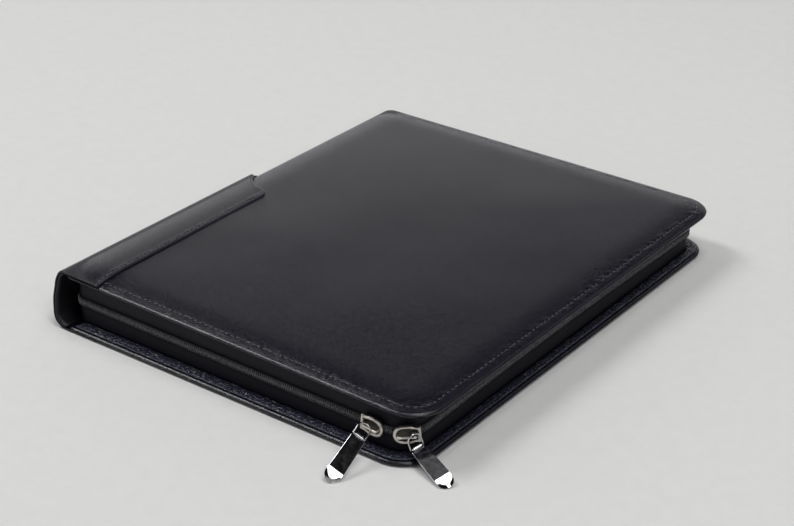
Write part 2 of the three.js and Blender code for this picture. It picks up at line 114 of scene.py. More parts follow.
def rounded_outline(box, inset, side_steps=330, corner_steps=30):
    """Points round a rounded rectangle, for one inset or a row of them.

    Each side is a straight run between two corner centres, moved outwards by the corner radius,
    and each corner is a quarter circle about its centre. The radius shrinks with the inset and
    stops at 0. Gives x, y, the outward direction, the side's number and the share along the side,
    which is 1 all round a corner.
    """
    inset = np.atleast_1d(np.asarray(inset, float))
    radius = np.maximum(np.array(box["radii"]) - inset[:, None], 0.0)
    right, left = box["right"] - inset, box["left"] + inset
    front, far = box["front"] + inset, box["far"] - inset
    centre_x = np.stack([right, right, left, left], 1) + radius * [-1, -1, 1, 1]
    centre_y = np.stack([front, far, far, front], 1) + radius * [1, -1, -1, 1]
    share = np.arange(side_steps) / side_steps
    bend = np.arange(corner_steps) / corner_steps * np.pi / 2
    angle = np.concatenate([np.repeat(TURNS[:, None], side_steps, 1), TURNS[:, None] + bend], 1)

    def along(values):
        before = np.roll(values, 1, 1)
        straight = before[:, :, None] * (1 - share) + values[:, :, None] * share
        return np.concatenate([straight, np.repeat(values[:, :, None], corner_steps, 2)], 2)

    x = along(centre_x) + along(radius) * np.cos(angle)
    y = along(centre_y) + along(radius) * np.sin(angle)
    outward = np.stack([np.cos(angle).ravel(), np.sin(angle).ravel()], 1)
    side = np.repeat(np.arange(4), side_steps + corner_steps)
    shares = np.tile(np.concatenate([share, np.ones(corner_steps)]), 4)
    return x.reshape(len(inset), -1), y.reshape(len(inset), -1), outward, side, shares


def rim_top(x, y):
    """Height of the upper cover's rim: level, and lifted towards the front end of the spine."""
    across = np.clip((x - COVER["left"]) / COVER_WIDTH, 0, 1)
    along = np.clip((y - COVER["front"]) / COVER_LENGTH, 0, 1)
    return RIM_HEIGHT + SPINE_RISE * (1 - across) * (1 - along)


def cover_underside(x, y):
    """The rim's height less the cover's thickness."""
    return rim_top(x, y) - COVER_THICKNESS


def ledge_height(x, y):
    """A gap above the lower cover's top, the same all over."""
    return BASE_THICKNESS + GAP + 0 * x


def zip_height(x, y):
    """Midway between the lower cover and the upper one."""
    return (BASE_THICKNESS + cover_underside(x, y)) / 2


def edge_distances(x, y):
    """Distance from the nearer long edge and from the nearer short edge of the upper cover."""
    return (np.minimum(x - COVER["left"], COVER["right"] - x),
            np.minimum(y - COVER["front"], COVER["far"] - y))


def edge_distance(x, y):
    """Distance in from the upper cover's edges, with round corners of the crown's reach."""
    from_x, from_y = edge_distances(x, y)
    over_x, over_y = np.maximum(CROWN_REACH - from_x, 0), np.maximum(CROWN_REACH - from_y, 0)
    near = (from_x < CROWN_REACH) | (from_y < CROWN_REACH)
    return np.where(near, CROWN_REACH - np.hypot(over_x, over_y), np.minimum(from_x, from_y))


def crown_rise(x, y):
    """The padding's height over the rim: 1 - (1 - share) ** fullness, times its full height."""
    rim_radius = COVER_THICKNESS / 2
    share = np.clip((edge_distance(x, y) - rim_radius) / (CROWN_REACH - rim_radius), 0, 1)
    return CROWN_HEIGHT * (1 - (1 - share) ** CROWN_FULLNESS)


print("rim over the spine's front:", rim_top(COVER["left"], COVER["front"]), "mm")

# %% [markdown]
# ## Noise for creases
# Leather isn't even: it puckers at the stitches and crinkles where it was folded wet over an edge.
# Blender's Displace modifier could do that with a texture. A lattice of random heights in numpy
# gives the same result each run and can be weighted by the distance from a seam.

# %% Noise for creases
LATTICE_SIZE = 128


def lattice_noise(x, y, cell, seed):
    """Random heights on a square lattice of that cell, blended smoothly between the four nearest."""
    table = np.random.default_rng(seed).random((LATTICE_SIZE, LATTICE_SIZE))
    low_x, low_y = np.floor(x / cell).astype(int), np.floor(y / cell).astype(int)
    share_x, share_y = x / cell - low_x, y / cell - low_y
    share_x = share_x * share_x * (3 - 2 * share_x)
    share_y = share_y * share_y * (3 - 2 * share_y)

    def row(up):
        across = [table[(low_x + step) % LATTICE_SIZE, (low_y + up) % LATTICE_SIZE] for step in (0, 1)]
        return across[0] * (1 - share_x) + across[1] * share_x

    return row(0) * (1 - share_y) + row(1) * share_y


def crinkles(x, y, cell, seed):
    """Sharp ridges between soft dents: 1 less the distance of two noises from their middle."""
    coarse = 1 - np.abs(2 * lattice_noise(x, y, cell, seed) - 1)
    fine = 1 - np.abs(2 * lattice_noise(x, y, cell * 0.45, seed + 1) - 1)
    return 0.68 * coarse + 0.32 * fine


sample = crinkles(*np.mgrid[0:40:0.5, 0:40:0.5], 3, 1)
print("crinkles run from", sample.min().round(2), "to", sample.max().round(2))

# %% [markdown]
# ## From grids to meshes
# A mesh could be built face by face, but one helper turns a whole grid of points into a mesh. It
# can close the grid round either way, merge the points that meet at a pole or a corner, and keep a
# number per point as an attribute, which the materials read to know where leather is worn.

# %% From grids to meshes
MERGE_DISTANCE, THIN_EDGE = 2e-6, 1e-7


def as_points(x, y, z):
    """Three coordinates, spread to one shape and put side by side."""
    return np.stack(np.broadcast_arrays(x, y, z), -1)


def grid_faces(rows, columns, closed_rows=False, closed_columns=False, start=0):
    """Four point numbers per face: a point, the next one on its row and the two on the row after."""
    row = np.arange(rows if closed_rows else rows - 1)
    column = np.arange(columns if closed_columns else columns - 1)
    here, there = np.meshgrid(row, column, indexing="ij")
    next_row, next_column = (here + 1) % rows, (there + 1) % columns
    quads = np.stack([here * columns + there, here * columns + next_column,
                      next_row * columns + next_column, next_row * columns + there], -1)
    return quads.reshape(-1, 4) + start


def signed_volume(mesh):
    """A closed mesh's volume in cubic centimetres, which is negative if it is inside out."""
    mesh.calc_loop_triangles()
    corners = np.zeros(len(mesh.loop_triangles) * 3, np.int32)
    mesh.loop_triangles.foreach_get("vertices", corners)
    points = np.zeros(len(mesh.vertices) * 3, np.float32)
    mesh.vertices.foreach_get("co", points)
    a, b, c = points.reshape(-1, 3)[corners.reshape(-1, 3)].astype(float).transpose(1, 0, 2)
    return float(np.einsum("ij,ij->i", a, np.cross(b, c)).sum() / 6 * 1e6)


def put_mesh(name, points, faces, material, slot, replaces=None, facts=None, body="case", merge=True):
    """Makes an object at the origin from points in millimetres and faces of four point numbers."""
    mesh = bpy.data.meshes.new(name)
    mesh.vertices.add(points.size // 3)
    mesh.vertices.foreach_set("co", (points * MM).ravel().astype(np.float32))
    mesh.loops.add(faces.size)
    mesh.loops.foreach_set("vertex_index", faces.ravel().astype(np.int32))
    mesh.polygons.add(len(faces))
    mesh.polygons.foreach_set("loop_start", np.arange(0, faces.size, 4, dtype=np.int32))
    mesh.update(calc_edges=True)
    for label, values in (facts or {}).items():
        layer = mesh.attributes.new(label, "FLOAT", "POINT")
        layer.data.foreach_set("value", np.broadcast_to(values, points.shape[:-1]).astype(np.float32).ravel())
    if merge:
        shape = bmesh.new()
        shape.from_mesh(mesh)
        bmesh.ops.remove_doubles(shape, verts=shape.verts, dist=MERGE_DISTANCE)
        bmesh.ops.dissolve_degenerate(shape, edges=shape.edges, dist=THIN_EDGE)
        shape.to_mesh(mesh)
        shape.free()
    mesh.polygons.foreach_set("use_smooth", np.ones(len(mesh.polygons), bool))
    mesh.validate()
    mesh.materials.append(material)
    piece = bpy.data.objects.new(name, mesh)
    bpy.context.scene.collection.objects.link(piece)
    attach(piece, body)
    if replaces:
        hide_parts(replaces)
    volume = signed_volume(mesh)
    print(f"{name}: {len(mesh.vertices)} points, {len(mesh.polygons)} faces, {volume:.2f} cm3")
    return piece


def shell(name, outer, inner, facts, *says, merge=True):
    """A bent sheet with two faces: an outer grid, an inner grid and a border that joins them.

    Seen from outside, the way from a row to the next lies clockwise of the way along a row.
    """
    rows, columns = outer.shape[:2]
    under = rows * columns
    front = grid_faces(rows, columns)[:, ::-1]
    back = grid_faces(rows, columns, start=under)
    number = np.arange(under).reshape(rows, columns)
    border = np.concatenate([number[0, :-1], number[:-1, -1], number[-1, :0:-1], number[:0:-1, 0]])
    after = np.roll(border, -1)
    rim = np.stack([border, after, after + under, border + under], 1)
    return put_mesh(name, np.stack([outer, inner]), np.concatenate([front, back, rim]), *says,
                    facts=facts, merge=merge)


print("points closer than", MERGE_DISTANCE / MM, "mm are merged")

# %% [markdown]
# ## Leather
# The covers are black calf with a satin finish. The grain is a net of fine pebbles about 0.8 mm
# across, and over it lie pores and slight unevenness in the gloss. A painted picture of leather
# could do this, but cells and noise in the node tree have no seam and keep their scale. Two
# attributes guide it: "worn" is high where edges are rubbed, and "crinkle" where leather was
# gathered, so that its bump is deeper there.

# %% Node helpers
def new_material(name):
    """An empty node material with a Principled shader, and its tree."""
    material = bpy.data.materials.new(name)
    material.use_nodes = True
    tree = material.node_tree
    tree.nodes.clear()
    shader = tree.nodes.new("ShaderNodeBsdfPrincipled")
    output = tree.nodes.new("ShaderNodeOutputMaterial")
    tree.links.new(shader.outputs["BSDF"], output.inputs["Surface"])
    return material, tree, shader


def feed(tree, node, **inputs):
    """Sets or links a node's inputs by name, where n2 stands for input number 2."""
    for key, value in inputs.items():
        socket = node.inputs[int(key[1:]) if key[1:].isdigit() else key.replace("_", " ")]
        if isinstance(value, bpy.types.NodeSocket):
            tree.links.new(value, socket)
        else:
            socket.default_value = value


def add_node(tree, kind, settings=None, **inputs):
    """Adds a node, sets its properties and feeds its inputs."""
    node = tree.nodes.new("ShaderNode" + kind)
    for key, value in (settings or {}).items():
        setattr(node, key, value)
    feed(tree, node, **inputs)
    return node


def maths(tree, operation, *terms):
    """One Math node fed with up to three terms, and its output."""
    inputs = {f"n{index}": term for index, term in enumerate(terms)}
    return add_node(tree, "Math", dict(operation=operation), **inputs).outputs[0]


def ramp(tree, value, stops):
    """A colour ramp from stops given as (position, grey or colour)."""
    node = add_node(tree, "ValToRGB", None, Fac=value)
    elements = node.color_ramp.elements
    for index, (position, colour) in enumerate(stops):
        element = elements[index] if index < 2 else elements.new(position)
        element.position = position
        colour = (colour,) * 3 if isinstance(colour, (int, float)) else colour
        element.color = (*colour, 1)
    return node.outputs["Color"]


def object_place(tree, scale=(1, 1, 1)):
    """Object coordinates in metres, stretched by a scale."""
    place = add_node(tree, "TexCoord").outputs["Object"]
    return add_node(tree, "Mapping", None, Vector=place, Scale=scale).outputs["Vector"]


def attribute(tree, name):
    """A number kept on the mesh's points."""
    return add_node(tree, "Attribute", dict(attribute_name=name)).outputs["Fac"]


def noise(tree, place, scale, detail, output="Fac", **more):
    """Soft random values, with that many waves in a metre."""
    return add_node(tree, "TexNoise", None, Vector=place, Scale=scale, Detail=detail, **more).outputs[output]


def cells(tree, place, scale):
    """The distance to the border of the nearest cell, with that many cells in a metre."""
    settings = dict(feature="DISTANCE_TO_EDGE")
    return add_node(tree, "TexVoronoi", settings, Vector=place, Scale=scale).outputs["Distance"]


def bump(tree, height, distance, strength=1.0, **more):
    """The normal of a surface whose height varies by that distance in metres."""
    node = add_node(tree, "Bump", None, Strength=strength, Distance=distance, Height=height, **more)
    return node.outputs["Normal"]


def colour_mix(tree, share, first, second):
    """The first colour where the share is 0, and the second where it is 1."""
    return add_node(tree, "Mix", dict(data_type="RGBA"), Factor=share, n6=first, n7=second).outputs[2]


print("node helpers ready")

# %% The leather
def leather(name, colour, worn_colour, roughness, grain, crinkle_depth, crinkle_scale):
    """Fine cells for the grain, soft noise for uneven gloss, and a deeper net where it is crinkled."""
    material, tree, shader = new_material(name)
    place = object_place(tree)
    wander = noise(tree, place, 260.0, 3.0, "Color")
    drift = add_node(tree, "VectorMath", dict(operation="SCALE"), n0=wander, Scale=0.0012)
    moved = add_node(tree, "VectorMath", dict(operation="ADD"), n0=place, n1=drift.outputs[0])
    pebble = ramp(tree, cells(tree, moved.outputs[0], 1050.0), [(0.0, 0.0), (0.1, 0.6), (0.42, 1.0)])
    pores = noise(tree, place, 1900.0, 2.0)
    grained = bump(tree, maths(tree, "MULTIPLY_ADD", pores, 0.7, pebble), grain)
    folds = noise(tree, place, crinkle_scale, 1.5, Distortion=0.8)
    ridge = maths(tree, "ABSOLUTE", maths(tree, "MULTIPLY_ADD", folds, 2.0, -1.0))
    crinkle = maths(tree, "MULTIPLY", maths(tree, "SUBTRACT", 1.0, ridge), attribute(tree, "crinkle"))
    patchy = noise(tree, place, 34.0, 5.0, Roughness=0.55)
    gloss = add_node(tree, "MapRange", None, Value=patchy, From_Min=0.3, From_Max=0.7,
                     To_Min=roughness - 0.03, To_Max=roughness + 0.04).outputs["Result"]
    rubbed = ramp(tree, pores, [(0.3, 0.4), (0.65, 1.0)])
    worn = maths(tree, "MULTIPLY", attribute(tree, "worn"), rubbed)
    feed(tree, shader, Base_Color=colour_mix(tree, worn, (*colour, 1), (*worn_colour, 1)),
         Roughness=maths(tree, "SUBTRACT", gloss, maths(tree, "MULTIPLY", pebble, 0.05)),
         Normal=bump(tree, crinkle, crinkle_depth, Normal=grained))
    feed(tree, shader, Specular_IOR_Level=0.32, IOR=1.5)
    return material


cover_leather = leather("cover_leather", (0.004, 0.0036, 0.0085), (0.03, 0.03, 0.042),
                        0.15, 0.000045, 0.0004, 450.0)
turned_leather = leather("turned_leather", (0.015, 0.016, 0.028), (0.05, 0.055, 0.08),
                         0.1, 0.00002, 0.0013, 360.0)
lining_leather = leather("lining_leather", (0.009, 0.0085, 0.012), (0.02, 0.02, 0.028),
                         0.45, 0.00003, 0.0004, 700.0)
print("leather:", cover_leather.name, turned_leather.name, lining_leather.name)

# %% [markdown]
# ## The upper cover
# The cover is a soft board in leather, rolled over at the rim, padded to a gentle crown and sewn
# 6.5 mm from its edge. It could be a subdivided box, but then the stitch line and its puckers
# would need hand placing. As a grid of insets by outline the stitch groove is one term in the
# height, and puckers are noise that fades away from it.

# %% The shape of the upper cover
STITCH_INSET, STITCH_PITCH = 6.5, 4.2
DOME_HEIGHT, DOME_REACH = 1.5, 110.0
CORNER_EASE = 31
RIM_TURNS, RIM_LENGTHS = (0, 25, 36, 105, 180), (0, 0.5, 1.95, 2.45, 5.24)
RIM_PLACES = np.array([5.24, 4.5, 3.9, 3.3, 2.85, 2.6, 2.45, 2.3, 2.15, 2.05, 1.95, 1.6, 1.2, 0.8,
                       0.5, 0.28, 0])


def sewn_sides(side):
    """1 on the front, right and far sides and 0 on the spine side, eased at the corners."""
    sewn = np.pad(np.where(side == 3, 0.0, 1.0), CORNER_EASE // 2, "wrap")
    return np.convolve(sewn, np.ones(CORNER_EASE) / CORNER_EASE, "valid")


def stitch_relief(distance, x, y, sewn):
    """Height change by the stitch line: a groove of Gaussian section, and puckers across it.

    The puckers are noise that is drawn out across the seam, so it is short along the edge. They
    fade with the square of the distance from the seam, and lean on the opening side.
    """
    away = distance - STITCH_INSET
    along = np.where(COVER["right"] - x < 14, y + 0.8 * distance, x)
    groove = -0.2 * np.exp(-(away / 0.6) ** 2)
    pucker = (lattice_noise(along, distance * 0.45 + 40, 1.9, 3) - 0.5) * 0.5
    dimple = (lattice_noise(x, y, 1.5, 5) - 0.5) * 0.24
    return sewn * (groove + (pucker + dimple) * np.exp(-(away / 2.3) ** 2))


def cover_top(x, y, sewn=1.0):
    """Height of the upper cover's top: the rim, the crown, a wide dome, soft waves and the seam.

    The dome is the product of two ramps, one across and one along, each 1 - (1 - share) squared.
    """
    distance = edge_distance(x, y)
    inner = np.clip((distance - 10) / 40, 0, 1)
    waves = (lattice_noise(x, y, 47, 11) - 0.5) * 0.45 + (lattice_noise(x, y, 23, 12) - 0.5) * 0.1
    from_x, from_y = (np.clip(part / DOME_REACH, 0, 1) for part in edge_distances(x, y))
    dome = (1 - (1 - from_x) ** 2) * (1 - (1 - from_y) ** 2)
    padding = crown_rise(x, y) + DOME_HEIGHT * dome
    return rim_top(x, y) + padding + inner * waves + stitch_relief(distance, x, y, sewn)


def rolled_rim(thickness):
    """A pressed rim from a cover's underside to its top: the inset, and the rise from the top.

    Along it the surface turns from facing up to facing down. It turns slowest between 25 and 36
    degrees, which makes the bevel that catches the light. Steps outwards are cosines of that turn
    and steps down are sines, summed up and scaled to the thickness.
    """
    fine = np.linspace(0, RIM_LENGTHS[-1], 600)
    turn = np.radians(np.interp(fine, RIM_LENGTHS, RIM_TURNS))
    out = np.concatenate([[0], np.cumsum(np.cos(turn)[:-1] * np.diff(fine))])
    down = np.concatenate([[0], np.cumsum(np.sin(turn)[:-1] * np.diff(fine))])
    drop = down * thickness / down[-1]
    return np.interp(RIM_PLACES, fine, out.max() - out), -np.interp(RIM_PLACES, fine, drop)


print("top over the middle:", round(float(cover_top(np.zeros(1), np.zeros(1))[0]), 2), "mm")

# %% The mesh of the upper cover
WORN_ROW = 9


def rim_wear(inset, middle, reach):
    """1 at that inset and less away from it, as the bell curve of that reach."""
    return np.exp(-((np.minimum(inset, 12) - middle) / reach) ** 2)[:, None]


def upper_cover():
    """Rows from the middle of the underside out to the rim and back to the middle of the top."""
    middle = COVER_WIDTH / 2
    below = np.array([middle, 80, 40, 24, 14, 8, 3.6])
    rim_inset, rim_rise = rolled_rim(COVER_THICKNESS)
    above = np.concatenate([np.arange(2.6, 12, 0.5), [13, 15, 18, 21.5, 26],
                            np.arange(33, 135, 11), [middle]])
    inset = np.concatenate([below, rim_inset, above])
    x, y, _, side, _ = rounded_outline(COVER, inset)
    sewn = sewn_sides(side)
    rim = rim_top(x, y)
    z = cover_top(x, y, sewn)
    under, edge, top = np.split(np.arange(len(inset)), [len(below), len(below) + len(rim_inset)])
    z[under] = (cover_underside(x, y) + crown_rise(x, y))[under]
    z[edge] = rim[edge] + rim_rise[:, None]
    ease = np.clip((inset - rim_inset[-1]) / 1.2, 0, 1)[top, None]
    z[top] = rim[top] * (1 - ease) + z[top] * ease
    near_rim = rim_wear(inset, 0.2, 1.5)
    near_rim[:len(below) + WORN_ROW] = 0
    band = np.exp(-((inset - 4.8) / 3.4) ** 2)[:, None] * sewn
    facts = {"worn": 0.3 * near_rim + 0.03 * band, "crinkle": 0.4 * band}
    return put_mesh("upper_cover_leather", as_points(x, y, z), grid_faces(*x.shape, closed_columns=True),
                    cover_leather, "cover_leather", "top_cover", facts)


upper_cover()

# %% [markdown]
# ## The lower cover
# The lower cover is the same board without the crown. It is seen as a rim all round and a ledge
# outside the gusset. A ring would be enough for that, but a closed body has a true underside. Where
# the patch is folded under it, the underside is lifted by the patch's thickness.

# %% The lower cover
PATCH_END = 0.54
LIFTED_ROWS = 6


def lower_cover():
    """Rows from the middle of the underside, round the rolled rim, to the middle of the top."""
    inner = np.array([(BASE["right"] - BASE["left"]) / 2, 110, 60, 33, 24, 16, 10, 6, 3.6])
    rim_inset, rim_rise = rolled_rim(BASE_THICKNESS)
    inset = np.concatenate([inner, rim_inset, inner[::-1]])
    x, y = rounded_outline(BASE, inset)[:2]
    rise = np.concatenate([np.full(len(inner), -BASE_THICKNESS), rim_rise, np.zeros(len(inner))])
    z = BASE_THICKNESS + rise[:, None] + np.zeros_like(x)
    flap = (x < COVER["left"] + PATCH_REACH + GAP) & (y < COVER["front"] + PATCH_END * COVER_LENGTH)
    flap[len(inner) + LIFTED_ROWS:] = False
    z = np.where(flap, np.maximum(z, PATCH_THICKNESS + GAP), z)
    facts = {"worn": 0.05 * rim_wear(inset, 0.9, 1.0), "crinkle": 0.0}
    return put_mesh("lower_cover_leather", as_points(x, y, z), grid_faces(*x.shape, closed_columns=True),
                    cover_leather, "cover_leather", "bottom_cover", facts)


lower_cover()

# %% [markdown]
# ## The turned-in leather
# Inside each edge a strip of leather is turned in and glued down. It was folded wet round the
# corners, so it shines and crinkles. A bump map alone would look flat where light grazes it, so
# the crinkles are in the mesh, and the material only adds the finest ones.

# %% The turned-in leather
SIDE_BOWS = np.array([0, 2.0, 1.4, 0])
STRIP_STEPS, STRIP_ROWS = (520, 60), 17
LEDGE_SEAM = 2.6


def gusset_outline(offset, reach, steps):
    """The gusset seen from above, moved outwards by an offset and bowed in on two of its sides."""
    x, y, outward, side, share = rounded_outline(GUSSET, 0, *steps)
    bow = SIDE_BOWS[side] * np.where(share < 1, np.sin(np.pi * share), 0)
    move = offset - bow * reach
    return x[0] + outward[:, 0] * move, y[0] + outward[:, 1] * move, outward


def turn_in(name, box, level, up, node):
    """A strip from near a cover's edge to the gusset, with ridged noise on its open face.

    It runs round three sides and the two corners between them.
    """
    last = 3 * STRIP_STEPS[0] + 2 * STRIP_STEPS[1] + 1
    edge_x, edge_y = (part[0, :last] for part in rounded_outline(box, TURN_IN_INSET, *STRIP_STEPS)[:2])
    foot_x, foot_y = (part[:last] for part in gusset_outline(GAP, 0, STRIP_STEPS)[:2])
    share = np.linspace(0, 1, STRIP_ROWS)[:, None]
    x = edge_x * (1 - share) + foot_x * share
    y = edge_y * (1 - share) + foot_y * share
    width = np.hypot(foot_x - edge_x, foot_y - edge_y)
    from_edge, from_foot = share * width, (1 - share) * width
    lip = np.exp(-(from_edge / 0.9) ** 2)
    crumple = (crinkles(x, y, 3.2, 21) - 0.62) * 1.7 + (lattice_noise(x, y, 5.5, 22) - 0.5) * 0.4
    seam = -0.3 * np.exp(-((from_edge - LEDGE_SEAM) / 0.55) ** 2)
    fade = 1 - np.exp(-(from_edge / 0.8) ** 2)
    relief = fade * (crumple * 0.55 + seam) - 0.45 * lip - 0.18 * np.exp(-(from_foot / 0.5) ** 2)
    base = level(x, y)
    inner = as_points(x, y, base)
    outer = as_points(x, y, base + up * (TURN_IN_THICKNESS + np.clip(relief, -0.6, 0.5)))
    facts = {"worn": np.clip(0.9 * lip + 0.25, 0, 1)[::-up], "crinkle": 0.85}
    return shell(name, outer[::-up], inner[::-up], facts, turned_leather, "turned_leather", node)


turn_in("lower_turned_leather", BASE, ledge_height, 1, "bottom_turn_in")
turn_in("upper_turned_leather", COVER, lambda x, y: cover_underside(x, y) - GAP, -1, "top_turn_in")

# %% [markdown]
# ## The spine
# On the front half of the spine side an inner leather and a patch over it bend from one cover to
# the other. The patch is sewn down with a straight seam and ends in a curve like a cupid's bow.
# It could be cut out of a bent plane, but that leaves a jagged edge. Here each line along the
# patch simply ends where the curve is, so the grid follows the cut.

# %% The shape of the patch
FAR_EDGE = np.array([(0.0, 0.541), (0.15, 0.52), (0.3, 0.508), (0.48, 0.496), (0.61, 0.491),
                     (0.77, 0.489), (0.9, 0.484), (0.97, 0.474), (1.0, 0.462)])
SPINE_LEATHER_LENGTH = 187.0
ROUND_COLUMNS, SIDE_COLUMNS, LEVEL_COLUMNS = 15, 14, 8
BEND_COLUMNS = 2 * ROUND_COLUMNS + SIDE_COLUMNS


def far_edge(across):
    """The patch's length from the cover's front, for each share of its reach over the cover."""
    line = np.interp(np.linspace(0, 1, 401), *FAR_EDGE.T)
    window = np.hanning(25)
    padded = np.concatenate([2 * line[0] - line[12:0:-1], line, 2 * line[-1] - line[-2:-14:-1]])
    soft = np.convolve(padded, window / window.sum(), "valid")
    return np.interp(across, np.linspace(0, 1, 401), soft) * COVER_LENGTH


def patch_face(x, y):
    """Height of the patch's outer face where it lies on the upper cover."""
    return rim_top(x, y) + crown_rise(x, y) + GAP + PATCH_THICKNESS


def bend_section(depth, y):
    """The bend from the upper cover to the lower one, that deep inside the patch's outer face.

    Its columns are a quarter of an ellipse above, a side that bulges by half a sine wave, and a
    quarter circle below.
    """
    quarter = np.linspace(0, np.pi / 2, ROUND_COLUMNS)
    share = np.linspace(0, 1, SIDE_COLUMNS + 2)[1:-1]
    centre = rim_top(COVER["left"], y) + GAP + PATCH_THICKNESS - SPINE_TOP_DROP
    top, side, foot = np.split(np.arange(BEND_COLUMNS), [ROUND_COLUMNS, ROUND_COLUMNS + SIDE_COLUMNS])
    x, z = np.zeros_like(y), np.zeros_like(y)
    reach, drop = SPINE_TOP_RADIUS - depth[:, top], SPINE_TOP_DROP - depth[:, top]
    x[:, top] = SPINE_SIDE + SPINE_TOP_RADIUS - reach * np.sin(quarter)
    z[:, top] = centre[:, top] + drop * np.cos(quarter)
    x[:, side] = SPINE_SIDE + depth[:, side] - SPINE_BULGE * np.sin(np.pi * share)
    z[:, side] = centre[:, side] * (1 - share) + SPINE_FOOT_RADIUS * share
    reach = SPINE_FOOT_RADIUS - depth[:, foot]
    x[:, foot] = SPINE_SIDE + SPINE_FOOT_RADIUS - reach * np.cos(quarter)
    z[:, foot] = SPINE_FOOT_RADIUS - reach * np.sin(quarter)
    return x, z


def spine_sheet(along, across, length, depth_of):
    """The grid of a sheet over the spine: rows along it, columns over it from cover to cover.

    Across is each column's share of the reach over the covers, 0 on the bend, and length is how
    far from the cover's front it ends. The front edge steps forward from the upper cover to the
    lower one while it goes round the bend.
    """
    flap = (len(across) - BEND_COLUMNS) // 2
    step = np.linspace(1, 0, BEND_COLUMNS - 2 * LEVEL_COLUMNS)
    level = np.concatenate([np.ones(flap + LEVEL_COLUMNS), step, np.zeros(flap + LEVEL_COLUMNS)])
    start = COVER["front"] - (1 - level) * FRONT_STEP
    y = start + (COVER["front"] + length - start) * along[:, None]
    depth = depth_of(y - start, COVER["front"] + length - y, y)
    x = COVER["left"] + across * PATCH_REACH + 0 * y
    z = depth.copy()
    top, bend, foot = np.split(np.arange(len(across)), [flap, flap + BEND_COLUMNS])
    z[:, top] = patch_face(x[:, top], y[:, top]) - depth[:, top]
    x[:, bend], z[:, bend] = bend_section(depth[:, bend], y[:, bend])
    x[:, foot] = np.maximum(x[:, foot], SPINE_SIDE + SPINE_FOOT_RADIUS + GAP)
    return as_points(x, y, z)


print("the patch ends", np.round(far_edge(np.array([0, 0.5, 1])), 1), "mm from the cover's front")

# %% The patch and the leather below it
PATCH_SEAM = 2.6


def fold(distance, radius, thickness):
    """How far a folded edge drops: the outer quarter of an ellipse, over that radius."""
    share = np.clip(1 - distance / radius, 0, 1)
    return thickness * (1 - np.sqrt(1 - share ** 2))


def bell(values, middle, reach):
    """The bell curve: 1 in the middle, and 0.37 a reach away from it."""
    return np.exp(-((values - middle) / reach) ** 2)


def spine_patch():
    """The patch with rounded edges, a stitch groove inside its seam and slight bulges."""
    flap = np.concatenate([1 - np.linspace(0, 1, 30) ** 1.8 * 0.26, np.linspace(0.72, 0.02, 22)])
    along = np.concatenate([np.linspace(0, 0.02, 10), np.linspace(0.026, 0.974, 190),
                            np.linspace(0.98, 1, 10)])
    across = np.concatenate([flap, np.zeros(BEND_COLUMNS), flap[::-1]])
    on_top = np.concatenate([np.ones(len(flap)), np.linspace(1, 0, BEND_COLUMNS) ** 2, np.zeros(len(flap))])

    def depth_of(from_front, from_end, y):
        from_seam = (1 - across) * PATCH_REACH + 0 * y
        away = np.minimum(from_seam, from_end)
        drop = fold(np.minimum(away, from_front + 0.2), 1.1, PATCH_THICKNESS * 0.72)
        groove = 0.26 * bell(away, PATCH_SEAM, 0.6)
        lumps = (lattice_noise(y, from_seam, 2.4, 31) - 0.5) * 0.3 * bell(away, 2.4, 2.2)
        return drop + (groove + lumps) * on_top

    outer = spine_sheet(along, across, far_edge(across), depth_of)
    inner = spine_sheet(along, across, far_edge(across), lambda front, end, y: 0 * y + PATCH_THICKNESS)
    edge = np.minimum((1 - across) * PATCH_REACH, outer[-1:, :, 1] - outer[..., 1])
    facts = {"worn": 0.9 * bell(edge, 0.5, 0.9) + 0.25 * bell(edge, PATCH_SEAM, 1.4),
             "crinkle": 0.6 * bell(edge, 2.4, 1.8)}
    return shell("spine_patch_leather", outer, inner, facts, cover_leather, "cover_leather", "spine_patch")


def spine_lining():
    """The leather below the patch: the bend alone, from one cover's edge to the other's."""
    face = PATCH_THICKNESS + GAP
    grid = np.linspace(0, 1, 60), np.zeros(BEND_COLUMNS), SPINE_LEATHER_LENGTH
    outer = spine_sheet(*grid, lambda front, end, y: face + fold(np.minimum(front, end), 0.8, 0.5))
    inner = spine_sheet(*grid, lambda front, end, y: 0 * y + face + SPINE_LEATHER_THICKNESS)
    return shell("spine_inner_leather", outer, inner, {"worn": 0.0, "crinkle": 0.5},
                 lining_leather, "cover_leather", "spine_leather")


spine_patch()
spine_lining()

# %% [markdown]
# ## The zip's tape and coil
# The gusset is two strips of tape with leather-like coating away from the zip. The coil is two
# rows of nylon loops that lock together in the middle. Every loop could be its own tube, but with
# a thousand of them one strip whose height is the loops' shape is lighter and just as crisp.

# %% Tape and coil materials
def tape_material():
    """A dull twill near the coil and a fine leather-like coating away from it."""
    material, tree, shader = new_material("zip_tape")
    place = object_place(tree)
    weave = noise(tree, object_place(tree, (1, 1, 3)), 1500.0, 2.0)
    ribs = add_node(tree, "TexWave", dict(bands_direction="Z"), Vector=place, Scale=420.0, Distortion=0.6,
                    Detail=1.0)
    cloth = maths(tree, "MULTIPLY", weave, ribs.outputs["Fac"])
    woven = attribute(tree, "woven")
    height = add_node(tree, "Mix", None, Factor=woven, n2=cells(tree, place, 1250.0), n3=cloth).outputs[0]
    coating = maths(tree, "MULTIPLY_ADD", noise(tree, place, 60.0, 4.0), 0.12, 0.4)
    feed(tree, shader, Normal=bump(tree, height, 0.00007),
         Roughness=maths(tree, "MULTIPLY_ADD", woven, 0.32, coating),
         Base_Color=ramp(tree, woven, [(0.0, (0.0075, 0.0068, 0.0115)), (1.0, (0.006, 0.0055, 0.0085))]),
         Specular_IOR_Level=0.12)
    return material


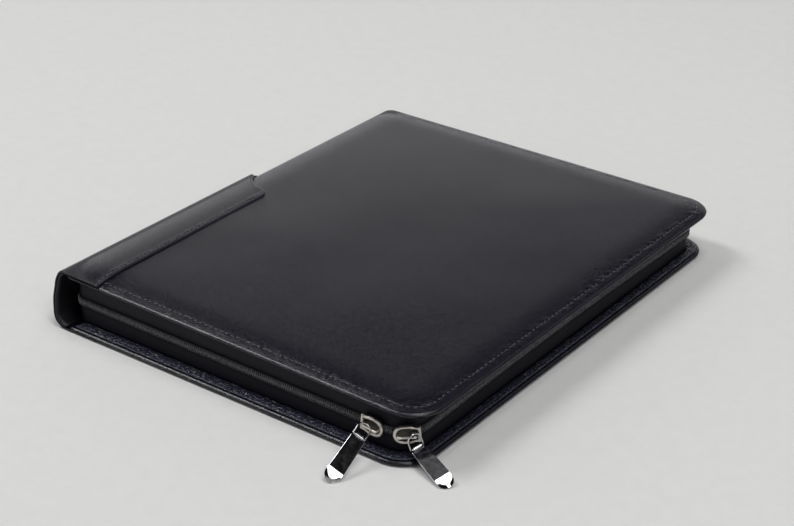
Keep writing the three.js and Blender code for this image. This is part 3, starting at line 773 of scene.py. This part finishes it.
def coil_material():
    """Nylon with a slight gloss, with a painted highlight on the loops' crests and painted shade between
    them.
    """
    material, tree, shader = new_material("zip_coil")
    scuffs = noise(tree, object_place(tree), 700.0, 3.0)
    # Painted highlight and shade: the base colour runs from near black between the loops to grey on their
    # crests.
    lit = maths(tree, "MULTIPLY", attribute(tree, "crest"), scuffs)
    shades = [(0.0, (0.001, 0.001, 0.0015)), (0.28, (0.009, 0.009, 0.011)), (0.5, (0.12, 0.12, 0.135))]
    feed(tree, shader, Base_Color=ramp(tree, lit, shades),
         Roughness=ramp(tree, scuffs, [(0.2, 0.36), (0.8, 0.5)]))
    return material


zip_tape, zip_coil = tape_material(), coil_material()
print("zip materials:", zip_tape.name, zip_coil.name)

# %% The two tapes
COIL_EDGE = COIL_HEIGHT / 2 + GAP
WALL_STEPS, WALL_ROWS = (150, 16), 15


def tape(name, levels, node, seed):
    """A wall round the case through levels of (reach, height, how woven), with slight waves."""
    share = np.linspace(0, len(levels) - 1, WALL_ROWS)
    reaches, height_of, weaves = zip(*levels)
    reach, woven = (np.interp(share, np.arange(len(levels)), part)[:, None] for part in (reaches, weaves))
    x, y, outward = gusset_outline(0, 0, WALL_STEPS)
    heights = np.stack([height(x, y) for height in height_of])
    low = np.clip(np.floor(share).astype(int), 0, len(levels) - 2)
    part = (share - low)[:, None]
    z = heights[low] * (1 - part) + heights[low + 1] * part
    x, y, outward = gusset_outline(0, reach, WALL_STEPS)
    loose = (1 - woven) * np.sin(np.linspace(0, np.pi, WALL_ROWS))[:, None]
    wave = (lattice_noise(x + y, z, 17, seed) - 0.7) * 0.7 * loose
    x, y = x + outward[:, 0] * wave, y + outward[:, 1] * wave
    back = as_points(x - outward[:, 0] * TAPE_THICKNESS, y - outward[:, 1] * TAPE_THICKNESS, z)
    grid = np.concatenate([as_points(x, y, z), back[::-1]])
    faces = grid_faces(*grid.shape[:2], closed_rows=True, closed_columns=True)
    return put_mesh(name, grid, faces, zip_tape, "zip_tape", node,
                    {"woven": np.concatenate([woven, woven[::-1]])})


def over_zip(rise):
    """A level that high over the zip's middle."""
    return lambda x, y: zip_height(x, y) + rise


def under_cover(x, y):
    """A gap below the upper cover."""
    return cover_underside(x, y) - GAP


lower_wall = tape("lower_tape", [(0, ledge_height, 0), (0.8, over_zip(-COIL_EDGE - 2.5), 0),
                                 (1, over_zip(-COIL_EDGE), 1), (1, over_zip(-GAP / 2), 1)],
                  "zip_tape_lower", 41)
upper_wall = tape("upper_tape", [(1, over_zip(GAP / 2), 1), (1, over_zip(COIL_EDGE), 1),
                                 (0.8, over_zip(COIL_EDGE + 2.5), 0), (0, under_cover, 0)],
                  "zip_tape_upper", 42)

# %% The zip's line
TOOTH_PITCH, TOOTH_POINTS, COIL_LEVELS = 1.6, 7, 11
ZIP_START, ZIP_END = 40.0, 205.0
ZIP_STEPS, SLOPE_WINDOW = (150, 24), 9


def run_along(line):
    """The length run from the start of a line to each of its points."""
    return np.concatenate([[0], np.cumsum(np.linalg.norm(np.diff(line, axis=0), axis=1))])


def places_along(line, at):
    """The points at those lengths along a line."""
    return np.stack([np.interp(at, run_along(line), column) for column in line.T], 1)


def zip_path(step):
    """The zip's line from behind the spine, round the case and back to the spine side.

    The gusset's outline is turned so that it starts at the corner after the spine side, the zip's
    two ends are added on that side, and the line is laid out again in equal steps.
    """
    x, y, _ = gusset_outline(0, 1, ZIP_STEPS)
    spine_side = 3 * sum(ZIP_STEPS)
    order = np.r_[spine_side + ZIP_STEPS[0]:len(x), 0:spine_side]
    start, end = ([(GUSSET["left"], COVER["front"] + place)] for place in (ZIP_START, ZIP_END))
    line = np.concatenate([start, np.stack([x, y], 1)[order], end])
    length = run_along(line)[-1]
    along = np.linspace(0, length, int(length / step) + 1)
    x, y = places_along(line, along).T
    window = np.ones(SLOPE_WINDOW) / SLOPE_WINDOW
    ahead_x, ahead_y = (np.convolve(np.pad(np.gradient(part), SLOPE_WINDOW // 2, "edge"), window, "valid")
                        for part in (x, y))
    size = np.hypot(ahead_x, ahead_y)
    return x, y, ahead_y / size, -ahead_x / size, along


print("the zip runs", round(float(zip_path(TOOTH_PITCH)[4][-1])), "mm")

# %% The coil and the panel
COIL_FOOT = 0.15
PANEL_HEIGHT, PANEL_THICKNESS, PANEL_BULGE = 15.0, 0.8, 0.4


def loop_height(along, level):
    """Height of the coil's loops: two combs of round bars, half a pitch apart, that overlap.

    A bar is the square root of a cosine across its width. The upper comb reaches down past the
    middle and the lower one up past it, and both taper where they turn over at the outside.
    """
    def comb(shift, towards):
        reach = level * towards
        across = np.cos(2 * np.pi * (along / TOOTH_PITCH + shift + 0.05 * reach))
        bar = np.sqrt(np.clip((across - 0.05) / 0.95, 0, 1))
        inside = np.clip((reach + 1.15) / 0.5, 0, 1)
        outside = np.sqrt(np.clip(1 - (np.clip(reach - 1.6, 0, 2) / 1.3) ** 2, 0, 1))
        return bar * inside * outside

    return np.maximum(comb(0.0, 1), comb(0.5, -1))


def coil():
    """A strip along the zip whose outer face has the loops' height, with a flat back."""
    x, y, out_x, out_y, along = zip_path(TOOTH_PITCH / TOOTH_POINTS)
    level = np.linspace(COIL_HEIGHT / 2, -COIL_HEIGHT / 2, COIL_LEVELS)[:, None]
    height = loop_height(along[None], level)
    z = zip_height(x, y) + level
    stand = GAP + COIL_FOOT + (COIL_THICKNESS - COIL_FOOT) * height
    # The crest attribute is the loops' height. It also drives the coil's painted highlight on the crests and
    # the painted shade between them.
    return shell("zip_coil_teeth", as_points(x + out_x * stand, y + out_y * stand, z),
                 as_points(x + out_x * GAP, y + out_y * GAP, z), {"crest": height},
                 zip_coil, "zip_coil", "zip_coil", merge=False)


def panel():
    """The plain panel behind the spine between the zip's ends, with a soft bulge."""
    y = COVER["front"] + np.linspace(ZIP_START + GAP, ZIP_END - GAP, 80)
    level = np.linspace(-PANEL_HEIGHT / 2, PANEL_HEIGHT / 2, 14)[:, None]
    bulge = PANEL_BULGE * np.cos(level / PANEL_HEIGHT * np.pi)
    z = zip_height(GUSSET["left"], y) + level
    back = GUSSET["left"] - GAP
    return shell("spine_panel_cloth", as_points(back - PANEL_THICKNESS - bulge, y, z), as_points(back, y, z),
                 {"woven": 0.0}, zip_tape, "zip_tape", "spine_panel")


coil()
panel()

# %% [markdown]
# ## Stitches
# Black thread shows as short raised dashes along the upper cover, the patch and the ledge. An
# array modifier could repeat one stitch on a curve. Here every stitch is one small spindle, laid
# along its line by its own frame, and all of them are one mesh.

# %% Stitches
SPINDLE_RINGS, SPINDLE_SIDES = 8, 7
STITCH_COVER, END_SINK = 0.74, 0.22


def thread_material():
    """Waxed thread: dark, a little glossy, with a fine twist."""
    material, tree, shader = new_material("thread")
    twist = noise(tree, object_place(tree), 2400.0, 2.0)
    feed(tree, shader, Normal=bump(tree, twist, 0.0001, 0.4), Roughness=0.3,
         Base_Color=ramp(tree, twist, [(0.3, (0.035, 0.035, 0.042)), (0.7, (0.085, 0.085, 0.095))]))
    return material


def stitches(name, line, pitch=STITCH_PITCH, width=0.7, height=0.56, sink=0.0):
    """A spindle on each step: half an ellipse along, an ellipse round, its ends sunk in the leather."""
    length = run_along(line)[-1]
    points = places_along(line, np.linspace(0, length, int(length / pitch) + 1))
    middle, ahead = (points[1:] + points[:-1]) / 2, np.diff(points, axis=0)
    ahead /= np.linalg.norm(ahead, axis=1)[:, None]
    across = np.cross([0.0, 0.0, 1.0], ahead)
    across /= np.linalg.norm(across, axis=1)[:, None]
    frames = np.stack([ahead, across, np.cross(ahead, across)], 1)
    t = np.linspace(-1, 1, SPINDLE_RINGS)[:, None]
    turn = np.arange(SPINDLE_SIDES) / SPINDLE_SIDES * 2 * np.pi
    girth = np.sqrt(1 - t ** 2) / 2
    spindle = as_points(t * pitch * STITCH_COVER / 2, girth * np.cos(turn) * width,
                        girth * np.sin(turn) * height - sink - END_SINK * t ** 2)
    shape = middle[:, None, None] + np.einsum("rsa,nab->nrsb", spindle, frames)
    one = grid_faces(SPINDLE_RINGS, SPINDLE_SIDES, closed_columns=True)
    start = SPINDLE_RINGS * SPINDLE_SIDES * np.arange(len(middle))[:, None, None]
    return put_mesh(name, shape, (one + start).reshape(-1, 4), thread, "cover_leather")


def three_sides(box, inset, start=-np.inf):
    """An outline over the front, right and far sides, from a start on the front side."""
    x, y, _, side, share = rounded_outline(box, inset, 300, 30)
    keep = (side < 3) & ((side < 2) | (share < 1)) & ((side > 0) | (share == 1) | (x[0] >= start))
    return x[0][keep], y[0][keep]


def patch_stitch_line():
    """Up the patch beside its seam and along its curved end."""
    along = np.linspace(COVER["front"] + 3, COVER["front"] + FAR_EDGE[-1, 1] * COVER_LENGTH - 1, 120)
    seam = np.stack([np.full(120, COVER["left"] + PATCH_REACH - PATCH_SEAM), along])
    across = np.linspace(0.9, 0.02, 60)
    curve = np.stack([COVER["left"] + across * PATCH_REACH, COVER["front"] + far_edge(across) - PATCH_SEAM])
    x, y = np.concatenate([seam, curve], 1)
    return as_points(x, y, patch_face(x, y) - 0.15)


thread = thread_material()
x, y = three_sides(COVER, STITCH_INSET, COVER["left"] + PATCH_REACH + 3)
stitches("cover_stitches", as_points(x, y, cover_top(x, y)))
x, y = three_sides(BASE, TURN_IN_INSET + LEDGE_SEAM)
stitches("ledge_stitches", as_points(x, y, ledge_height(x, y) + TURN_IN_THICKNESS - 0.2),
         width=0.5, height=0.5, sink=0.08)
stitches("patch_stitches", patch_stitch_line(), pitch=3.6)

# %% [markdown]
# ## Metal
# The sliders are cast and nickel plated: warm grey, a little rough and scuffed. The links and tabs
# are polished, so they mirror the room. Each could have a recipe of its own, but one serves both
# with different roughness.

# %% Metal materials
def metal(name, colour, low, high, scratch, scale=260.0):
    """Plating whose roughness wanders, with faint scratches in its bump and painted shade where it is sunk.
    """
    material, tree, shader = new_material(name)
    scuff = noise(tree, object_place(tree), scale, 5.0, Roughness=0.6)
    fine = noise(tree, object_place(tree, (1, 1, 0.2)), scale * 3, 3.0)
    dark = tuple(0.62 * part for part in colour)
    plated = ramp(tree, scuff, [(0.3, dark), (0.6, colour)])
    # Where the sunk attribute is 1 the plating is mixed to near black: painted shade in the slider's recess.
    feed(tree, shader, Roughness=ramp(tree, scuff, [(0.35, low), (0.7, high)]), Metallic=1.0,
         Normal=bump(tree, fine, 0.00005, scratch),
         Base_Color=colour_mix(tree, attribute(tree, "sunk"), plated, (0.06, 0.055, 0.05, 1)))
    return material


slider_metal = metal("slider_metal", (0.7, 0.66, 0.6), 0.3, 0.42, 0.06)
pull_metal = metal("pull_metal", (0.74, 0.74, 0.76), 0.04, 0.12, 0.08)
print("metals:", slider_metal.name, pull_metal.name)

# %% [markdown]
# ## Sliders, links and tabs
# Each slider has its own frame: X along the zip, Y up and Z outwards. The link hangs on the
# slider's bridge and the tab on the link. They could be modelled in place, but the same angles as
# in the solids place them, so each shape is made flat at its own origin and carried by one matrix.

# %% Where each slider, link and tab sits
SLIDER = dict(thickness=1.6, bridge=11.4, stand=3.1, post=1.0)
LINK = dict(width=8.2, length=9.6, behind=2.1, wire=1.1, corner=1.0)
TAB = dict(top=9.4, tip=10.6, length=32.5, thickness=2.0, barrel=5.0, wall=0.5)
SLIDER_PLACES = {"front": dict(before=8.5, round=0, tip=-6, turn=0, nose=0),
                 "corner": dict(before=0, round=42, tip=4, turn=-6, nose=180)}
LINK_PLACES = {"front": dict(along=-2.4, swing=16.5, lean=10, roll=33, fold=8.5),
               "corner": dict(along=3.7, swing=96, lean=11.5, roll=31, fold=-71)}


def turned(degrees, axis):
    """A turn about one axis as a 4 by 4 matrix."""
    return Matrix.Rotation(math.radians(degrees), 4, axis)


def pull_frames(name):
    """The frames of a slider, its link and its tab, in millimetres."""
    place, hang = SLIDER_PLACES[name], LINK_PLACES[name]
    radius = GUSSET["radii"][0]
    centre_x, centre_y = GUSSET["right"] - radius, GUSSET["front"] + radius
    outward = math.radians(place["round"] - 90)
    reach = radius + GAP + COIL_THICKNESS + GAP
    spot = Vector((centre_x - place["before"] + reach * math.cos(outward),
                   centre_y + reach * math.sin(outward), zip_height(centre_x, centre_y)))
    stand = Matrix.Translation(spot) @ turned(place["round"] + place["turn"], "Z") @ turned(90, "X")
    seat = stand @ turned(place["tip"], "Z")
    hinge = seat @ Matrix.Translation((hang["along"], 0, SLIDER["thickness"] + SLIDER["stand"]))
    hinge = hinge @ turned(hang["swing"], "X") @ turned(hang["lean"], "Y") @ turned(-hang["roll"], "Z")
    link = hinge @ Matrix.Translation((0, 0, LINK["length"] - LINK["behind"])) @ turned(-90, "X")
    return seat, link, link @ turned(hang["fold"], "X")


def carried(grids, matrix):
    """The points of one or two grids, moved by a matrix as one product."""
    table = np.array(matrix)
    return np.concatenate([grid.reshape(-1, 3) for grid in grids]) @ table[:3, :3].T + table[:3, 3]


for name in SLIDER_PLACES:
    print(name, "link's straight side at", [round(part, 2) for part in pull_frames(name)[1].translation])

# %% Tubes and loops
TUBE_SIDES = 12


def smooth_loop(corners, count, rounding):
    """A closed outline laid out in equal steps and softened by a weighted moving average."""
    closed = np.concatenate([corners, corners[:1]])
    length = run_along(closed)[-1]
    line = places_along(closed, np.linspace(0, length, count, endpoint=False))
    half = int(rounding / length * count) // 2
    window = np.hanning(2 * half + 3)[1:-1]
    wrapped = np.pad(line, ((half, half), (0, 0)), "wrap")
    return np.stack([np.convolve(column, window / window.sum(), "valid") for column in wrapped.T], 1)


def capped(rings):
    """Rings with the middle of each end added as a row of its own, which closes them."""
    ends = rings[[0, -1]]
    middles = np.broadcast_to(ends.mean(1, keepdims=True), ends.shape)
    return np.concatenate([middles[:1], rings, middles[1:]])


def plate_rings(line, profile):
    """A plate's rings: the anticlockwise outline moved in by each inset, at each height."""
    ahead = np.roll(line, -1, 0) - np.roll(line, 1, 0)
    out = np.stack([ahead[:, 1], -ahead[:, 0]], 1) / np.linalg.norm(ahead, axis=1)[:, None]
    inset, height = np.array(profile).T[:, :, None]
    return capped(as_points(line[:, 0] - out[:, 0] * inset, line[:, 1] - out[:, 1] * inset, height))


def arc(x, y, radius, start, stop, count):
    """Points on a circle between two angles in degrees."""
    angle = np.radians(np.linspace(start, stop, count))
    return np.stack([x + radius * np.cos(angle), y + radius * np.sin(angle)], 1)


def between(first, last, count):
    """That many points on the line between two points, without its ends."""
    return np.linspace(first, last, count + 2)[1:-1]


def tube(path, radius, closed=False):
    """A tube along a path in the XY plane of its own frame, whose radius may vary along it."""
    ahead = np.roll(path, -1, 0) - np.roll(path, 1, 0) if closed else np.gradient(path, axis=0)
    out = np.stack([ahead[:, 1], -ahead[:, 0]], 1) / np.linalg.norm(ahead, axis=1)[:, None]
    turn = np.arange(TUBE_SIDES) / TUBE_SIDES * 2 * np.pi
    reach = np.broadcast_to(radius, len(path))[:, None]
    wide = reach * np.cos(turn)
    return as_points(path[:, :1] + out[:, :1] * wide, path[:, 1:] + out[:, 1:] * wide, -reach * np.sin(turn))


print("tube and loop helpers ready")

# %% The sliders
CAST_LENGTH, CAST_HEIGHT = 16.0, 11.8
CAST_PROFILE = [(1.2, 0.0), (0.25, 0.0), (0.05, 0.12), (0.0, 0.35), (0.0, 1.5), (0.1, 1.95), (0.4, 2.25),
                (0.85, 2.38), (1.5, 2.3), (1.85, 1.95), (2.05, 1.4), (2.2, 0.9), (2.5, 0.8)]
BRIDGE_ROOT, BRIDGE_ROUNDING, BRIDGE_GIRTH, KNOB_GIRTH = 0.5, 1.3, 0.68, 0.24


def cast_plate():
    """The slider's plate: round at the nose and square at the tail, with a rim round a sunk face."""
    half, end = CAST_HEIGHT / 2, CAST_LENGTH / 2
    tail, shoulder = half * 0.86, -end + half
    corners = [(shoulder, half), (-end + half * 0.6, tail), (-end, tail),
               (-end, -tail), (-end + half * 0.6, -tail), (shoulder, -half)]
    line = smooth_loop(np.concatenate([arc(end - half, 0, half, -90, 90, 25), corners]), 120, 1.6)
    return plate_rings(line, CAST_PROFILE)


def bridge():
    """A wire from post to post over the plate, thicker where its knobs are."""
    out, top = (SLIDER["bridge"] - SLIDER["post"]) / 2, SLIDER["thickness"] + SLIDER["stand"]
    shoulder = top - BRIDGE_ROUNDING
    rise = np.stack([np.full(8, -out), np.linspace(BRIDGE_ROOT, shoulder, 9)[:-1]], 1)
    corner = arc(-out + BRIDGE_ROUNDING, shoulder, BRIDGE_ROUNDING, 180, 90, 9)
    half = np.concatenate([rise, corner])
    bar = between((-out + BRIDGE_ROUNDING, top), (out - BRIDGE_ROUNDING, top), 20)
    path = np.concatenate([half, bar, half[::-1] * [-1, 1]])
    knobs = bell(np.abs(path[:, 0]) - out, -0.9, 0.8) * (path[:, 1] > shoulder)
    return tube(path, BRIDGE_GIRTH + KNOB_GIRTH * knobs)[..., [0, 2, 1]]


def slider_body(name):
    """The cast plate and its bridge as one mesh."""
    plate, arch = cast_plate(), bridge()
    sunk = np.zeros(plate.shape[:2])
    # The innermost rings are the sunk face. They are marked for the painted shade that darkens the recess.
    sunk[-4:], sunk[-5] = 1.0, 0.5
    faces = [grid_faces(*plate.shape[:2], closed_columns=True),
             grid_faces(*arch.shape[:2], closed_columns=True, start=sunk.size)]
    points = carried([plate, arch], pull_frames(name)[0] @ turned(SLIDER_PLACES[name]["nose"], "Z"))
    facts = {"sunk": np.concatenate([sunk.ravel(), np.zeros(len(points) - sunk.size)])}
    return put_mesh(f"slider_{name}_cast", points, np.concatenate(faces), slider_metal, "slider_metal",
                    f"slider_{name}", facts)


for name in SLIDER_PLACES:
    slider_body(name)

# %% The links
def link_wire(name):
    """A wire bent to a D: a straight side with two tight corners and a round end."""
    half, corner = LINK["width"] / 2, LINK["corner"]
    side, far = half - corner, LINK["length"] - half
    path = np.concatenate([
        arc(-side, corner, corner, 180, 270, 8),
        between((-side, 0), (side, 0), 12),
        arc(side, corner, corner, 270, 360, 8),
        between((half, corner), (half, far), 6),
        arc(0, far, half, 0, 180, 30),
        between((-half, far), (-half, corner), 6),
    ])
    wire = tube(path, LINK["wire"] / 2, closed=True)
    faces = grid_faces(*wire.shape[:2], closed_rows=True, closed_columns=True)
    return put_mesh(f"link_{name}_wire", carried([wire], pull_frames(name)[1]), faces, pull_metal,
                    "pull_metal", f"link_{name}", merge=False)


for name in SLIDER_PLACES:
    link_wire(name)

# %% The shape of a tab
BARREL = LINK["wire"] / 2 + GAP + TAB["wall"]
TIP_BEVEL_LENGTH, TIP_BEVEL_DEGREES = 7.6, 8.0
EDGE_REACH, TIP_REACH = 0.34, 2.0
EDGE_DROP, TIP_DROP = 0.26, 0.85
BACK_BEVEL, EYE_SIDES = 0.2, 28
ACROSS_SHARES = np.array([0, 0.01, 0.03, 0.06, 0.1, 0.16, 0.24, 0.34, 0.46, 0.58, 0.7, 0.85, 1])


def tab_rings():
    """A polished plate as sections carried down a line, and the row of its bevel.

    The half width grows evenly to the tip's radius and then follows its circle. Past the bevel's
    line the face drops evenly. Along the sides it rolls down by a small quarter of an ellipse, and
    round the tip a wide chamfer takes over from that.
    """
    radius, half = TAB["tip"] / 2, TAB["thickness"] / 2
    top, round_start = -BARREL - GAP, -TAB["length"] + radius
    bevel = -TAB["length"] + TIP_BEVEL_LENGTH
    turn = np.linspace(0, np.pi / 2, 46)[1:]
    down = np.concatenate([[top, top - 0.12, top - 0.4], np.linspace(top - 1, bevel, 24),
                           np.linspace(bevel, round_start, 6)[1:],
                           round_start - radius * np.sin(turn)])[:, None]
    taper = np.interp(-down, [-top, -round_start], [TAB["top"] / 2, radius])
    past = np.clip(round_start - down, 0, radius)
    width = np.where(down < round_start, np.sqrt(radius ** 2 - past ** 2), taper)
    x = width * np.concatenate([-1 + ACROSS_SHARES, 1 - ACROSS_SHARES[-2::-1]])
    away = np.where(past > 0, radius - np.hypot(x, past), width - np.abs(x))
    round_share = np.clip(1.25 * past / radius, 0, 1) ** 0.8
    chamfer = TIP_DROP * np.clip(1 - away / TIP_REACH, 0, 1) ** 1.25
    roll = fold(away, EDGE_REACH, EDGE_DROP) * (1 - round_share) + chamfer * round_share
    drop = np.clip(bevel - down, 0, None) * math.tan(math.radians(TIP_BEVEL_DEGREES))
    foot = np.minimum(BACK_BEVEL, width / 2)
    low = -half + 0 * width
    x = np.concatenate([foot - width, -width, x, width, width - foot], 1)
    z = np.concatenate([low, low + BACK_BEVEL, half - drop - roll, low + BACK_BEVEL, low], 1)
    z[:2] *= [[0.6], [0.9]]
    return capped(as_points(x, down, z)), 1 + np.argmin(np.abs(down - bevel))


def tab_eye():
    """A pipe round the link's straight side: four rings, inner, outer, outer and inner."""
    bend = np.arange(EYE_SIDES) / EYE_SIDES * 2 * np.pi
    side = TAB["barrel"] / 2 * np.array([-1, -1, 1, 1])[:, None]
    reach = np.array([LINK["wire"] / 2 + 0.22, BARREL])[[0, 1, 1, 0], None]
    return as_points(side, reach * np.cos(bend), reach * np.sin(bend))


print("a tab is", TAB["length"], "mm long and its eye", round(2 * BARREL, 2), "mm across")

# %% The tabs
SHARP_DEGREES = 35


def sharpen(mesh):
    """Marks the edges whose two ends are both on the crease as sharp."""
    crease = np.zeros(len(mesh.vertices), np.float32)
    mesh.attributes["crease"].data.foreach_get("value", crease)
    ends = np.zeros(len(mesh.edges) * 2, np.int32)
    mesh.edges.foreach_get("vertices", ends)
    mesh.set_sharp_from_angle(angle=math.radians(SHARP_DEGREES))
    sharp = np.zeros(len(mesh.edges), bool)
    mesh.edges.foreach_get("use_edge_sharp", sharp)
    mesh.edges.foreach_set("use_edge_sharp", sharp | (crease[ends.reshape(-1, 2)] > 0.5).all(1))


def tab_plate(name):
    """The plate and its eye as one mesh, with a sharp crease where the bevel starts."""
    (plate, bevel_row), eye = tab_rings(), tab_eye()
    crease = np.zeros(plate.shape[:2])
    crease[bevel_row, 2:-2] = 1
    faces = [grid_faces(*plate.shape[:2], closed_columns=True)[:, ::-1],
             grid_faces(*eye.shape[:2], closed_rows=True, closed_columns=True, start=crease.size)]
    points = carried([plate, eye], pull_frames(name)[2])
    facts = {"crease": np.concatenate([crease.ravel(), np.zeros(len(points) - crease.size)])}
    piece = put_mesh(f"tab_{name}_plate", points, np.concatenate(faces), pull_metal, "pull_metal",
                     f"tab_{name}", facts, body=f"{name}_tab")
    sharpen(piece.data)


for name in SLIDER_PLACES:
    tab_plate(name)

# %% [markdown]
# ## Floor and light
# The case lies on pale paper. Black leather shows little but reflections, so the room matters more
# than the lamps, and a single lamp overhead would leave the covers flat. The world is bright only
# low down, which the tilted walls and the tabs mirror, and brightest on the spine side. Three soft
# boxes, on the left, on the right and above, draw the rims' bright lines and keep the shadow soft.
# A small lamp makes the crinkled ledge glint, and a weak box behind lifts the far side.

# %% The floor
FLOOR_HALF, FLOOR_DROP = 6000, 0.05


def floor_piece():
    """A wide flat grid, a hair below the case."""
    x, y = np.meshgrid(np.linspace(-FLOOR_HALF, FLOOR_HALF, 13), np.linspace(-FLOOR_HALF, FLOOR_HALF, 13))
    mesh = bpy.data.meshes.new("floor")
    points = as_points(x, y, -FLOOR_DROP).reshape(-1, 3) * MM
    mesh.from_pydata(points.tolist(), [], grid_faces(*x.shape).tolist())
    floor = bpy.data.objects.new("floor", mesh)
    bpy.context.scene.collection.objects.link(floor)
    material, tree, shader = new_material("paper")
    fibre = noise(tree, object_place(tree), 90.0, 6.0, Roughness=0.7)
    shades = [(0.3, (0.66, 0.658, 0.65)), (0.7, (0.69, 0.688, 0.68))]
    feed(tree, shader, Base_Color=ramp(tree, fibre, shades), Roughness=0.85, Specular_IOR_Level=0.2)
    mesh.materials.append(material)


floor_piece()
print("the floor lies", FLOOR_DROP, "mm below the case")

# %% The room
ROOM_BRIGHTNESS = 0.92


def room():
    """A world that is bright low down, more so on the spine side, and dim above."""
    world = bpy.data.worlds.new("room")
    bpy.context.scene.world = world
    world.use_nodes = True
    tree = world.node_tree
    tree.nodes.clear()
    direction = add_node(tree, "TexCoord").outputs["Generated"]
    height = add_node(tree, "SeparateXYZ", None, Vector=direction).outputs["Z"]
    low = ramp(tree, height, [(0.0, 1.0), (0.34, 1.0), (0.4, 0.65), (0.45, 0.3), (0.5, 0.1), (0.545, 0.02),
                              (0.6, 0.012), (0.86, 0.01), (0.95, 0.08), (1.0, 0.16)])
    side = add_node(tree, "VectorMath", dict(operation="DOT_PRODUCT"), n0=direction, n1=(-1.0, 0.0, 0.0))
    back = ramp(tree, side.outputs["Value"], [(0.0, 0.4), (0.38, 0.7), (0.5, 0.95), (0.6, 1.1)])
    above = maths(tree, "GREATER_THAN", height, 0.7)
    glow = maths(tree, "MULTIPLY", low, maths(tree, "MAXIMUM", back, above))
    background = add_node(tree, "Background", None, Color=(0.98, 0.98, 1.0, 1),
                          Strength=maths(tree, "MULTIPLY", glow, ROOM_BRIGHTNESS))
    add_node(tree, "OutputWorld", None, Surface=background.outputs["Background"])


room()
print("world:", bpy.context.scene.world.name)

# %% The lights
LIGHT_DISTANCE = 3.0
LIGHTS = {
    "left_softbox": dict(aim=(0, -0.17, 0.03), towards=(-0.58, -0.122, 0.8), size=(0.55, 1.3), power=36,
                         side=(0, 1, 0)),
    "right_softbox": dict(aim=(-0.026, 0.218, 0.186), towards=(0.417, -0.241, 0.879), size=(1.0, 3.25),
                          power=37, side=(-0.3, -0.95, -0.04)),
    "top_softbox": dict(aim=(0, 0, 0), towards=(0.2, 0.14, 1), size=(1.3, 1.3), power=23, side=(1, 0, 0)),
    "glint_lamp": dict(aim=(0, -0.19, 0.01), towards=(-0.53, 0.31, 0.79), size=(0.4, 0.4), power=3,
                       side=(0, 0, 1)),
    "back_softbox": dict(aim=(0.14, 0, 0.03), towards=(0.17, 0.74, 0.65), size=(0.45, 1.2), power=2.0,
                         side=(1, 0, 0)),
}


def soft_light(name, aim, towards, size, power, side):
    """A soft box of that size in metres, at a distance from a point, turned to face it.

    Its width lies along the direction called side, as far as that is square to the beam.
    """
    data = bpy.data.lights.new(name, "AREA")
    data.shape = "RECTANGLE"
    data.size, data.size_y = size
    data.energy = power
    light = bpy.data.objects.new(name, data)
    back = Vector(towards).normalized()
    width = (Vector(side) - back * back.dot(Vector(side))).normalized()
    axes = Matrix((width, back.cross(width), back)).transposed().to_4x4()
    light.matrix_world = Matrix.Translation(Vector(aim) + back * LIGHT_DISTANCE) @ axes
    bpy.context.scene.collection.objects.link(light)


for name, facts in LIGHTS.items():
    soft_light(name, **facts)
bpy.context.scene.view_settings.view_transform = "Standard"
print("lights:", list(LIGHTS))
